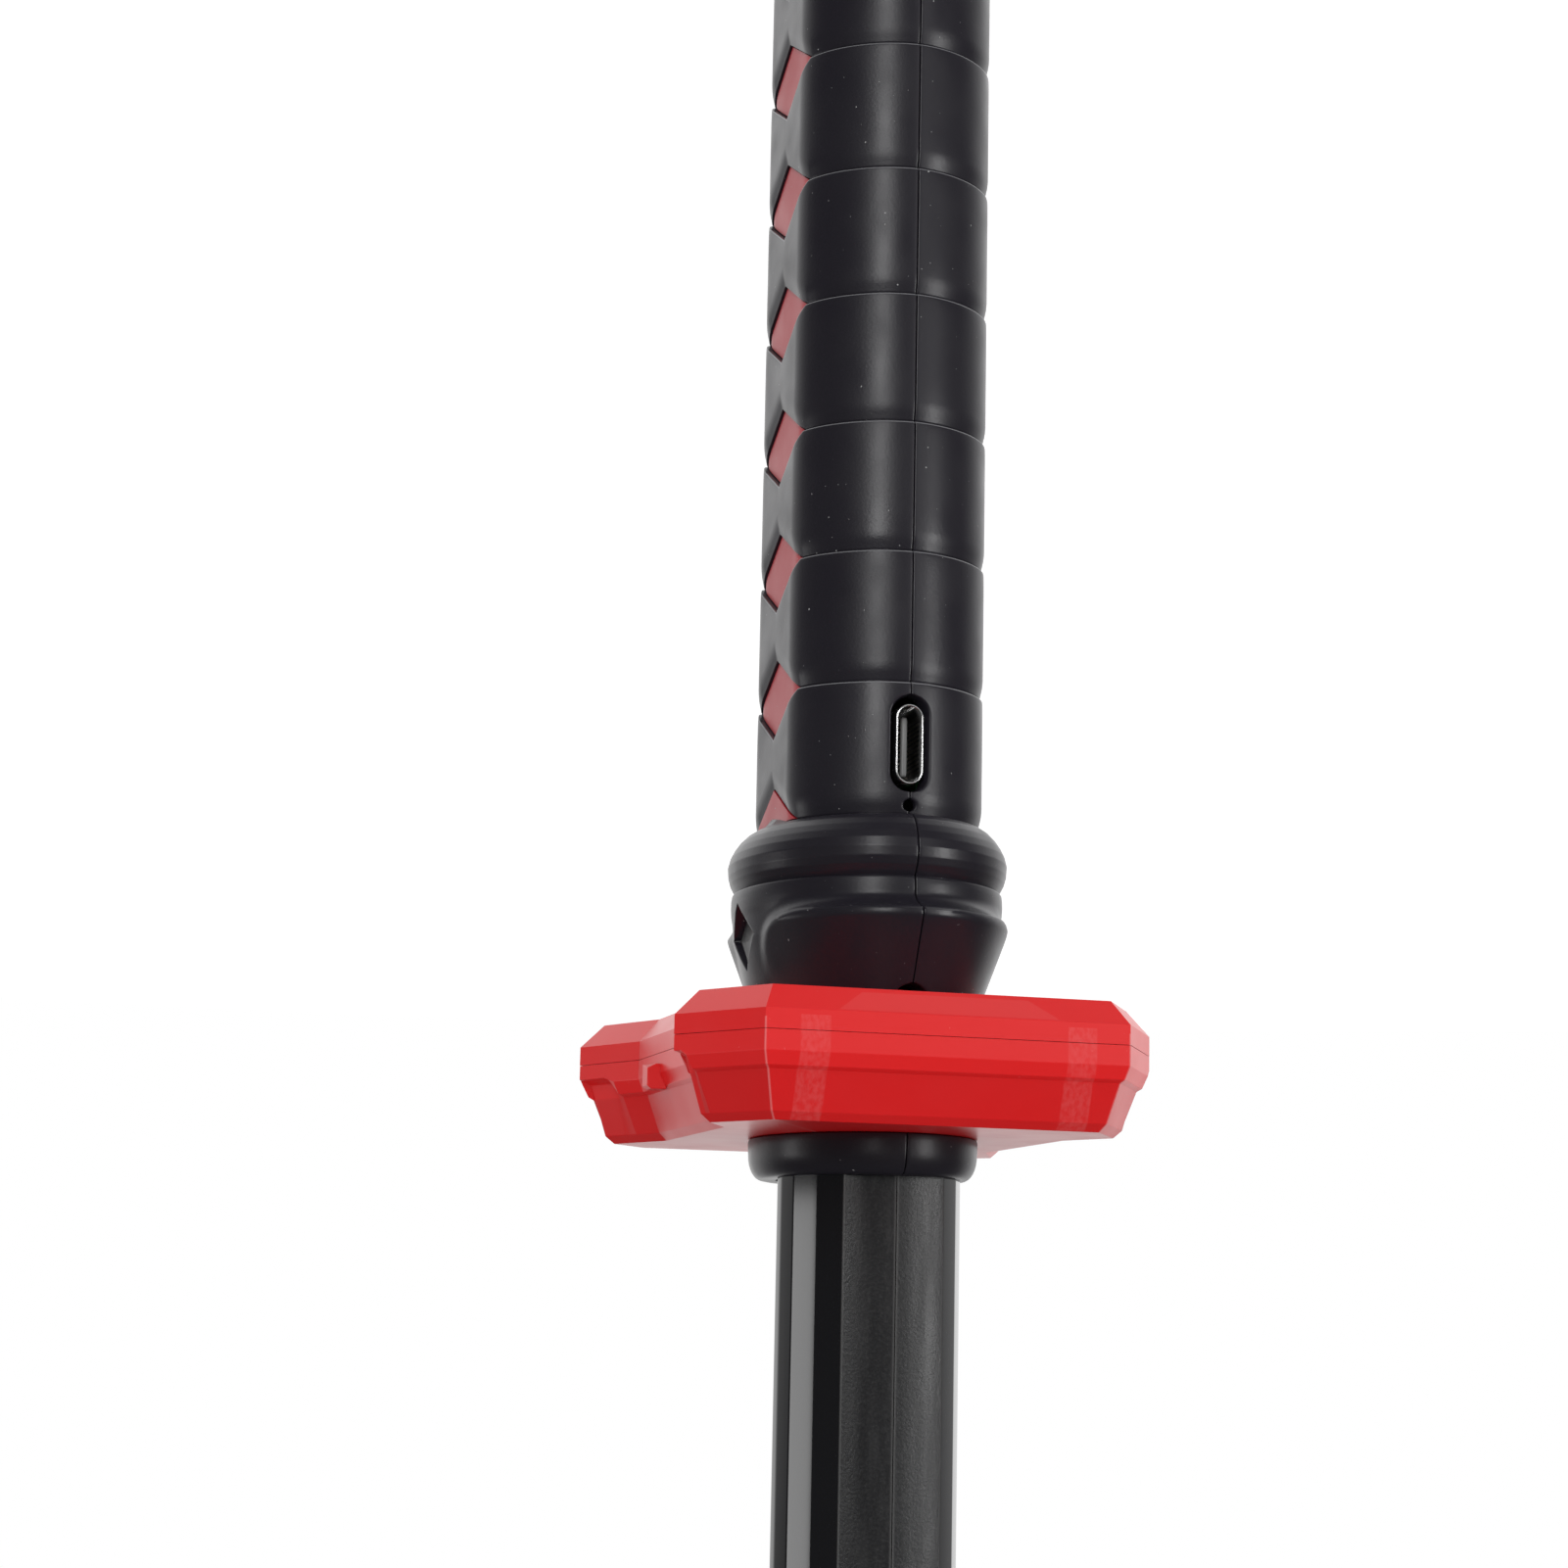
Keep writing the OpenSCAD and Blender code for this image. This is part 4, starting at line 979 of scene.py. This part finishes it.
def guard_plastic():
    """Glossy red with marks of its own: frosted bands where ribs shrink behind the long faces, drawn
    paler as a painted sheen, a faint raised panel on the upper bevel of those faces, and a painted
    highlight down the front corners."""
    finish = moulded_plastic("guard_gloss_red", (0.69, 0.0065, 0.0075), 0.31, 0.5, 0.0012,
                             cloud=0.02, speck=(0.72, 0.06, 0.06))
    across, along, height = finish.off("X"), finish.at("Y"), finish.at("Z")
    on_wall = finish.over(finish.off("Y"), WALL_Y)
    from_band = finish.math("ABSOLUTE", finish.less(across, BAND_X))
    band = finish.span(from_band, BAND_HALF + 0.05, BAND_HALF - 0.1)
    mottle = finish.span(finish.noise(0.45, detail=4.0, stretch=(1, 1, 0.6)), 0.35, 0.62, 0.25, 1.0)
    # frosted bands, drawn as a pale mottled painted sheen
    frost_and_sheen = finish.times(band, on_wall, mottle, finish.over(height, GUARD_FACE + 3.2))
    inside = finish.under(across, finish.span(height, *PANEL_Z, *PANEL_X))
    level = finish.times(finish.over(height, GUARD_FACE + 0.45), finish.under(height, GUARD_FACE + 2.5))
    panel = finish.times(inside, level, on_wall)
    # painted highlight: a pale line down each front corner, below the parting line
    side, front = GUARD_FRONT[1:]
    facet = (front - side) / np.linalg.norm(front - side)
    bisector = np.array([-facet[1], facet[0] + 1])
    from_corner = finish.math("ADD", finish.times(across, bisector[0]), finish.times(along, bisector[1]))
    from_corner = finish.math("ABSOLUTE", finish.less(from_corner, front @ bisector))
    glint = finish.times(finish.span(from_corner, 0.15, 0.05, 0.0, 0.2), finish.under(along, 0),
                         finish.over(height, GLINT_Z))
    finish.stain(finish.span(height, DEEP_Z, DEEP_Z + 0.3), (0.60, 0.0035, 0.0045))
    # pale paint over the frost's painted sheen, the panel, and the corners' painted highlight
    pale = finish.largest(finish.times(frost_and_sheen, 0.06), finish.times(panel, 0.035), glint)
    finish.stain(pale, (0.85, 0.55, 0.55))
    return finish


guard_finish = guard_plastic()
print("guard finish:", len(guard_finish.tree.nodes), "nodes")

# %% [markdown]
# The edges of the facets get small rounds, but for those on the parting line, which stays a fine
# line. Four screws sit in wells in the upper shell.

# %% Guard shells
UPPER = [(GUARD_FACE, 2.3, 0), (GUARD_BOTTOM + 2.3, 0, 0), (LINE - 0.03, 0, 0)]
LOWER = [(LINE + 0.03, 0, 0), (GUARD_BOTTOM + 6.6, 0, 0.3), (GUARD_BOTTOM + 8.0, 0.6, 1),
         (GUARD_BOTTOM + 8.35, 1.15, 1), (GUARD_BOTTOM + 12.5, 2.7, 0), (RING_FOOT - 0.05, 3.6, 0)]
GUARD_SCREWS = [(x, y, GUARD_BOTTOM + 0.4) for x in (-12.7, 12.7) for y in (-22.0, 22.0)]
WELL = [(-2, 2.6), (-0.73, 2.3), (-0.45, 2.15), (1.75, 2.15)]


def soften(obj, width, crisp, segments=2, degrees=9.0):
    """Small rounds where two faces meet at more than degrees, but for edges at the crisp height."""
    mesh = bmesh.new()
    mesh.from_mesh(obj.data)
    weight = mesh.edges.layers.float.new("bevel_weight_edge")
    for edge in mesh.edges:
        near = max(abs(v.co.z / MM - crisp) for v in edge.verts) < 0.1
        if len(edge.link_faces) == 2 and not near:
            edge[weight] = float(edge.calc_face_angle(0.0) > math.radians(degrees))
    mesh.to_mesh(obj.data)
    mesh.free()
    bevel = obj.modifiers.new("soften", "BEVEL")
    bevel.limit_method = "WEIGHT"
    bevel.width, bevel.segments = width * MM, segments
    bevel.harden_normals = True
    bevel.use_clamp_overlap = True


wells = [revolved(WELL, place, axis="z") for place in GUARD_SCREWS]
for name, levels, extra, holes in (
    ("guard_upper", UPPER, [], wells), ("guard_lower", LOWER, [guard_tab(1), guard_tab(-1)], ())
):
    surfaces = [closed_surface(guard_loops(levels), closed_rows=True)] + extra
    shell = piece(name + "_shell", surfaces, guard_finish, name, sharp=9.0, holes=holes)
    soften(shell, 0.28, LINE)

# %% [markdown]
# The blade is also two half shells. Its section has a spine of two grained facets, polished sides,
# and a narrow back edge. The corners of a moulding are never sharp, so each corner of the section
# is swapped for a short arc before the section is swept along the blade.

# %% Blade section
BLADE_SPINE, BLADE_EDGE, BLADE_X = 13.1, 14.6, 10.1
BLADE_CORNERS = np.array([  # x, y and the radius of the round at that corner
    [SEAM - 0.02, -BLADE_SPINE, 0.05], [1.6, -BLADE_SPINE + 0.11, 0.7], [3.8, -BLADE_SPINE + 0.44, 0.8],
    [5.6, -BLADE_SPINE + 1.0, 0.16], [7.8, -9.62, 0.16], [9.5, -6.1, 0.3],
    [BLADE_X, -3.4, 0.3], [BLADE_X, -1.6, 0.4], [3.0, BLADE_EDGE - 0.6, 0.6],
    [SEAM - 0.02, BLADE_EDGE, 0.05]
])


def rounded(before, corner, after, radius):
    """Points of the curve that swaps a corner, cut back by its radius towards both neighbours."""
    start, end = (corner + (to - corner) / np.linalg.norm(to - corner) * radius for to in (before, after))
    t = np.linspace(0, 1, 5)[:, None]
    return (1 - t) ** 2 * start + 2 * t * (1 - t) * corner + t ** 2 * end


def blade_line():
    """Half section from the spine seam to the edge seam, with a small round at either seam."""
    points = BLADE_CORNERS[:, :2]
    curves = [rounded(*points[i - 1:i + 2], BLADE_CORNERS[i, 2]) for i in range(1, len(points) - 1)]
    ends = np.array([[-0.02, 0.1], [0.02, 0.02]])
    return np.concatenate([points[0] + ends, *curves, points[-1] - ends[::-1] * [-1, 1]])


print("blade section:", len(blade_line()), "points")

# %% [markdown]
# Along the blade come a narrower root that hides in the neck's ring, the body, and the tip. The tip
# is cut on a slant, so each loop is sheared a little more than the one before. The hollow ends just
# short of it, and the last loops close the tip.

# %% Blade loops
BLADE_MIDDLE = np.array([0.0, 0.5])
ROOT_SCALE, ROOT_HOLLOW_SCALE, TIP_SCALE = [0.87, 0.905], [0.85, 0.88], 0.955
TIP_SLANT, HOLLOW_END = 42.0 / 28.2, 0.985  # rise of the tip for each mm of depth; share of the length
BLADE_HOLLOW = np.array([
    [SEAM, BLADE_EDGE - 2.2], [3.0, BLADE_EDGE - 3.4], [8.0, -1.6], [8.0, -5.2], [4.4, -11.2],
    [SEAM, -12.0]
])


def blade_loops():
    """Loops of one half: root inside the neck, body, and slanted tip with a closed end."""
    line = blade_line()
    root = BLADE_MIDDLE + (line - BLADE_MIDDLE) * ROOT_SCALE
    root_hollow = BLADE_HOLLOW * ROOT_HOLLOW_SCALE
    flat_wall = np.column_stack([np.full(len(BLADE_HOLLOW), SEAM - 0.02), BLADE_HOLLOW[:, 1]])
    rows = []
    for z, outside, inside in (
        (GUARD_BOTTOM - 2, root, root_hollow), (RING_TOP - 0.1, root, root_hollow),
        (RING_TOP - 0.05, line, BLADE_HOLLOW)
    ):
        both = np.concatenate([outside, inside])
        rows.append(np.column_stack([both, np.full(len(both), z)]))
    along = np.linspace(0, 1, 13)[1:-1] * HOLLOW_END
    for share in np.concatenate([along, [HOLLOW_END, 0.99, 0.9988, 1.0]]):
        outside = BLADE_MIDDLE + (line - BLADE_MIDDLE) * (TIP_SCALE if share == 1.0 else 1.0)
        both = np.concatenate([outside, BLADE_HOLLOW if share <= HOLLOW_END else flat_wall])
        top = TIP - TIP_SLANT * (both[:, 1] - low("blade_shell_right")[1])
        rows.append(np.column_stack([both, RING_TOP + (top - RING_TOP) * share]))
    return np.array(rows)


print("blade loops:", blade_loops().shape)

# %% [markdown]
# The blade is black and glossy, and only its spine is grained. Fine streaks run along the spine,
# the flash beside its seam is a little paler, and a painted highlight runs along its outer corner.

# %% Blade finish and half shells
FLASH_X, SHOULDER_X = 0.14, 5.56  # marks beside the seam and on the spine's outer corner


def shade_blade():
    """Polished black with a grained spine: the grain comes in where the surface faces the spine,
    and there the seam's flash and a few flecks are worn paler, and the outer corner gets a painted
    highlight."""
    finish = Finish("blade_gloss_black", (0.01, 0.01, 0.011), IOR=1.49)
    normal = finish.node("NewGeometry").outputs["True Normal"]
    faces = finish.node("SeparateXYZ", Vector=normal).outputs["Y"]
    spine = finish.span(faces, -0.72, -0.90)
    grain = finish.noise(0.3, detail=4.0)
    streaks = finish.noise(1.1, detail=3.0, stretch=(1, 1, 0.12))
    soft = finish.span(streaks, 0.3, 0.7, 0.25, 0.36)
    finish.drive("Roughness", finish.math("ADD", finish.times(spine, soft), 0.07))
    across = finish.off("X")
    flash = finish.span(across, FLASH_X + 0.2, FLASH_X, 0.0, 0.8)
    # painted highlight: a pale line along the spine's outer corner
    shoulder = finish.span(across, SHOULDER_X - 0.14, SHOULDER_X, 0.0, 1.0)
    fleck = finish.math("ADD", finish.span(grain, 0.45, 0.75, 0.0, 0.22),
                        finish.span(streaks, 0.5, 0.8, 0.0, 0.14))
    # pale paint for wear (flecks, the seam's flash) and for the corner's painted highlight
    wear_and_highlight = finish.times(finish.span(faces, -0.70, -0.80), finish.largest(fleck, flash, shoulder))
    finish.drive("Base Color", finish.mix(wear_and_highlight, (0.0075, 0.0075, 0.0085), (0.06, 0.06, 0.06)))
    finish.bump(finish.times(grain, spine), 0.026)
    return finish


blade_finish = shade_blade()
for side, loops in (("right", blade_loops()), ("left", mirrored(blade_loops()))):
    piece("blade_" + side, [closed_surface(loops)], blade_finish,
          "blade_shell_" + side, sharp=30.0)

# %% [markdown]
# The pommel is one solid cap with the same section as the grip, a little wider, and a ring groove
# near its top. Its loops go round the half section and its mirror, and each station says how high a
# loop is and how far it stands out. A hole for a lanyard runs across it, and flares where it comes out.

# %% Pommel cap
POMMEL_TOP, POMMEL_LIP, LANYARD_R, LANYARD_Z = GRIP_BOTTOM, 1.2, 2.25, 7
MOUTH = GRIP_X + POMMEL_LIP - 0.7


def grip_ring(out, z):
    """Closed loop round the grip's section, moved outwards along its normal."""
    x, y = section(np.linspace(0, line_s[-1], 97), -out)
    x[[0, -1]] = 0
    half = np.stack([x, y, np.full(len(x), z)], -1)
    return np.concatenate([half, mirrored(half[-2:0:-1])])


def arc(centre, radius, start, end, steps=6):
    """Stations of height and stand-out along an arc, with its angle in degrees from straight out."""
    turn = np.radians(np.linspace(start, end, steps))
    return np.stack([centre[0] + radius * np.sin(turn), centre[1] + radius * np.cos(turn)], -1)


stations = np.concatenate([
    [[0.35, -4.5], [0.3, -4.0], [0.0, -3.2]], arc((1.6, POMMEL_LIP - 1.6), 1.6, -90, 0, 8),
    arc((POMMEL_TOP - 4.4, POMMEL_LIP - 0.4), 0.4, 0, 90, 5), [[POMMEL_TOP - 3.9, POMMEL_LIP - 0.75]],
    [[POMMEL_TOP - 3.0, POMMEL_LIP - 0.8], [POMMEL_TOP - 2.9, POMMEL_LIP - 0.45]],
    arc((POMMEL_TOP - 0.8, POMMEL_LIP - 1.2), 0.8, 0, 90, 6), [[POMMEL_TOP, -0.3], [POMMEL_TOP, -2.0]]
])
flares = [(x, LANYARD_R + max(0.0, abs(x) - MOUTH)) for x in (-14, -12.2, -11.75, 11.75, 12.2, 14)]
piece("pommel", [closed_surface([grip_ring(out, z) for z, out in stations])], grip_finish,
      "pommel_cap", holes=[revolved(flares, (0, 0, LANYARD_Z), steps=48)])

# %% [markdown]
# A screw is a turned shape: a flat head with a rounded rim on a straight shank. The cross in the
# head is cut with a tapered cross-shaped cutter. One function makes a row of screws along any axis,
# in one mesh. They are zinc plated, with fine scratches.

# %% Screws
CROSS_ARM, CROSS_HALF = 1.05, 0.27
CROSS_STATIONS = [(-0.2, 1.1), (0.75, 0.62)]  # height over the head's face, and scale
CROSS = np.concatenate([
    np.array([[CROSS_HALF, -CROSS_HALF], [CROSS_ARM, -CROSS_HALF], [CROSS_ARM, CROSS_HALF]])
    @ np.array([[c, s], [-s, c]]) for c, s in ((1, 0), (0, 1), (-1, 0), (0, -1))
])


def screws(name, places, axis, shank, node):
    """Row of screws whose heads' faces are at the places and whose shanks run up the axis."""
    turned = [(0.0, 1.2), (0.02, 1.55), (0.12, 1.82), (0.3, 1.96), (0.5, HEAD_R), (HEAD_H - 0.15, HEAD_R),
              (HEAD_H, HEAD_R - 0.1), (HEAD_H + 0.05, 1.1), (shank - 1, 1.1), (shank, 0.7)]
    return piece(name, [revolved(turned, place, axis) for place in places], steel_finish,
                 node, sharp=30.0, holes=[swept(CROSS, CROSS_STATIONS, place, axis) for place in places])


steel_finish = bare_metal("screw_zinc", (0.55, 0.55, 0.57), 0.22, 0.4, 0.25, stretch=(1, 1, 6))
steel_finish.bump(steel_finish.noise(0.12), 0.002)
screws("shell_screw_row", HEADS, "x", 14.0, "shell_screws")
screws("guard_screw_row", GUARD_SCREWS, "z", 9.4, "guard_screws")

# %% [markdown]
# The mode button is a small diamond block in the collar's pocket, and it rides on its own body, so
# that it can be pressed. Its outline is a diamond with rounded corners, a little narrower at its
# foot. The stations step in at the top for a soft rim, and then dip a little for the finger.

# %% Mode button
BUTTON_FACE = high("mode_button")[0]


def diamond(half_y, half_z, radius):
    """Outline of a diamond with rounded corners, in Y and Z."""
    corner = np.array([[half_y, 0], [0, half_z], [-half_y, 0], [0, -half_z]], float)
    triples = [(corner[i - 1], corner[i], corner[(i + 1) % 4]) for i in range(4)]
    return np.concatenate([rounded(*triple, radius) for triple in triples])


FACE_STATIONS = np.array([  # height over the face, and share of the outline
    [-1.0, 0.93], [-0.3, 1.0], [-0.14, 0.985], [-0.04, 0.945], [0, 0.88], [-0.01, 0.8], [-0.12, 0.7],
    [-0.22, 0.5], [-0.25, 0.25]
])
cap = swept(diamond(POCKET_Y - 0.42, POCKET_Z - 0.3, 0.45), FACE_STATIONS, (BUTTON_FACE, 0, BUTTON_Z))
button_finish = moulded_plastic("button_satin_black", (0.010, 0.010, 0.011), 0.33, 0.25, 0.004)
piece("mode_button_cap", [cap], button_finish, "mode_button", sharp=50.0, body="button")
print("button face at x =", round(float(BUTTON_FACE), 2), "mm")

# %% [markdown]
# The charging socket is a drawn steel shell: a slot-shaped tube with a rolled lip and a back wall.
# Its mouth comes further forward than the solid's.

# %% Charging socket
SOCKET_LOW, SOCKET_HIGH = low("usb_shell"), high("usb_shell")
SOCKET_WALL, SOCKET_FORWARD = 0.3, 1.1


def slot_outline(grow, y, steps=13):
    """Slot-shaped loop in a plane of constant y: two straight sides and two half circles."""
    radius = (SOCKET_HIGH[0] - SOCKET_LOW[0]) / 2
    reach = (SOCKET_HIGH[2] - SOCKET_LOW[2]) / 2 - radius
    turn = np.radians(np.linspace(0, 180, steps))
    x, z = np.cos(turn) * (radius + grow), np.sin(turn) * (radius + grow) + reach
    return np.stack([np.append(x, -x), np.full(2 * steps, y), SOCKET_Z + np.append(z, -z)], -1)


def socket_loops():
    """From the closed back, along the outside, round the rolled lip, and down to the cavity's floor."""
    front, back = SOCKET_LOW[1] - SOCKET_FORWARD, SOCKET_HIGH[1]
    turn, round_r = np.radians(np.linspace(0, 180, 9)), SOCKET_WALL / 2
    lip = [(-round_r * (1 - math.cos(t)), front + round_r * (1 - math.sin(t))) for t in turn]
    stations = [(-0.25, back), (0, back - 0.3)] + lip + [(-SOCKET_WALL, back - SOCKET_WALL)]
    return np.array([slot_outline(grow, y) for grow, y in stations])


socket_finish = bare_metal("socket_steel", (0.66, 0.66, 0.66), 0.16, 0.26, 0.8)
piece("socket_shell", [closed_surface(socket_loops())], socket_finish, "usb_shell",
      sharp=50.0)

# %% [markdown]
# Inside the socket stands a black tongue with a pale front edge and rows of dull contacts. They are
# flat, so they are stripes in its finish, not shapes.

# %% Tongue and contacts
CONTACT_PITCH = 0.5


def tongue_loops():
    """Tongue along Y: a rounded bar that narrows at its front edge."""
    half_x, half_z = high("usb_tongue")[0], (high("usb_tongue")[2] - low("usb_tongue")[2]) / 2
    front, back = low("usb_tongue")[1], high("usb_tongue")[1]
    turn = np.radians(np.arange(0, 360, 10))
    flat_x = np.sign(np.cos(turn)) * np.abs(np.cos(turn)) ** 0.35
    flat_z = np.sign(np.sin(turn)) * np.abs(np.sin(turn)) ** 0.12
    stations = [(front, 0.55, 0.93), (front + 0.12, 0.85, 0.98), (front + 0.3, 1, 1), (back, 1, 1)]
    return np.array([
        np.stack([flat_x * half_x * a, np.full(len(turn), y), SOCKET_Z + flat_z * half_z * b], -1)
        for y, a, b in stations
    ])


def contact_stripes():
    """Black plastic with a pale front edge, and stripes across both flat faces: a wave along Z."""
    finish = Finish("tongue_black_gold", (0.8, 0.8, 0.8))
    wave = finish.math("FRACT", finish.math("DIVIDE", finish.at("Z"), CONTACT_PITCH))
    back = finish.over(finish.at("Y"), low("usb_tongue")[1] + 0.5)
    contact = finish.times(finish.under(wave, 0.5), finish.over(finish.off("X"), 0.3), back)
    plastic = finish.mix(back, (0.22, 0.22, 0.22), (0.012, 0.012, 0.013))
    finish.drive("Base Color", finish.mix(contact, plastic, (0.34, 0.30, 0.24)))
    finish.drive("Metallic", contact)
    finish.drive("Roughness", finish.span(contact, 0, 1, 0.4, 0.28))
    return finish


piece("socket_tongue", [closed_surface(tongue_loops())], contact_stripes(), "usb_tongue",
      sharp=50.0)

# %% [markdown]
# The other solids are inside: cell, boards, leads, lamps, switch and light pipe. Their CAD shapes
# are right, so they stay, and only get a finish each. Most are one colour with soft clouds in it,
# and the board and the cell's sleeve get a pattern of their own.

# %% Finishes of the inner pieces
def plain_finish(name, colour, gloss, cloud_mm, shade=0.75, shine=0.5):
    """One colour that darkens a little in clouds, and a gloss that varies with them."""
    finish = Finish(name, colour, Specular_IOR_Level=shine)
    clouds = finish.span(finish.noise(cloud_mm), 0.35, 0.65)
    finish.drive("Base Color", finish.mix(clouds, tuple(c * shade for c in colour), colour))
    finish.drive("Roughness", finish.span(clouds, 0, 1, gloss + 0.06, gloss - 0.06))
    return finish


def board_finish():
    """Green solder mask over copper tracks: thin bands of a stretched noise stand a little proud."""
    finish = Finish("board_solder_mask", (0.02, 0.16, 0.06))
    bands = finish.math("FRACT", finish.times(finish.noise(3.0, detail=0.0, stretch=(1, 1, 0.35)), 14.0))
    track = finish.under(bands, 0.42)
    finish.drive("Base Color", finish.mix(track, (0.010, 0.085, 0.032), (0.022, 0.17, 0.06)))
    finish.drive("Roughness", finish.span(track, 0, 1, 0.42, 0.3))
    finish.bump(track, 0.02)
    return finish


def sleeve_finish():
    """Heat-shrunk sleeve of the cell: green film with fine wrinkles along its length."""
    finish = Finish("cell_shrink_sleeve", (0.04, 0.16, 0.08), Coat_Weight=0.3)
    wrinkle = finish.noise(1.2, detail=3.0, stretch=(1, 1, 0.12))
    finish.drive("Base Color", finish.mix(wrinkle, (0.03, 0.12, 0.06), (0.05, 0.2, 0.1)))
    finish.drive("Roughness", finish.span(wrinkle, 0.3, 0.7, 0.22, 0.36))
    finish.bump(wrinkle, 0.05)
    return finish


INNER = {"board_green": board_finish(), "cell_sleeve": sleeve_finish(), "screw_steel": steel_finish}
print("finishes with a pattern:", list(INNER))

# %% [markdown]
# One table gives the plain finishes their colour, roughness and size of clouds. Then each solid that
# has no skin of its own gets the finish of its material slot.

# %% Inner pieces
PLAIN = [  # slot, name, colour, roughness, clouds in mm, and where they differ: shade and shine
    ("red_insulation", "lead_red", (0.5, 0.02, 0.02), 0.45, 2.0),
    ("black_insulation", "lead_black", (0.02, 0.02, 0.02), 0.45, 2.0),
    ("white_insulation", "lead_white", (0.7, 0.7, 0.7), 0.45, 2.0),
    ("board_white", "board_white_mask", (0.8, 0.8, 0.78), 0.4, 4.0, 0.94),
    ("chip_black", "chip_resin", (0.018, 0.018, 0.019), 0.5, 0.6),
    ("lamp_white", "lamp_clear_white", (0.75, 0.74, 0.66), 0.25, 0.8, 0.9),
    ("lamp_red", "lamp_red_lens", (0.45, 0.015, 0.015), 0.12, 1.0),
    # the light pipe's end is painted black with no shine: painted shade, so the indicator hole reads as a
    # dark hole
    ("light_pipe_clear", "light_pipe_smoked", (0.001, 0.001, 0.001), 0.6, 0.5, 0.75, 0.0)
]
INNER.update({slot: plain_finish(*values) for slot, *values in PLAIN})
INNER["contact_metal"] = bare_metal("contact_nickel", (0.6, 0.58, 0.54), 0.2, 0.36, 1.5)
inner = [part for part in frame["record"]["subparts"] if part["node"] not in dressed]
for part in inner:
    materials = frame["nodes"][part["node"]].data.materials
    materials.clear()
    materials.append(INNER[part["material_slot"]].material)
print("inner pieces dressed:", len(inner))
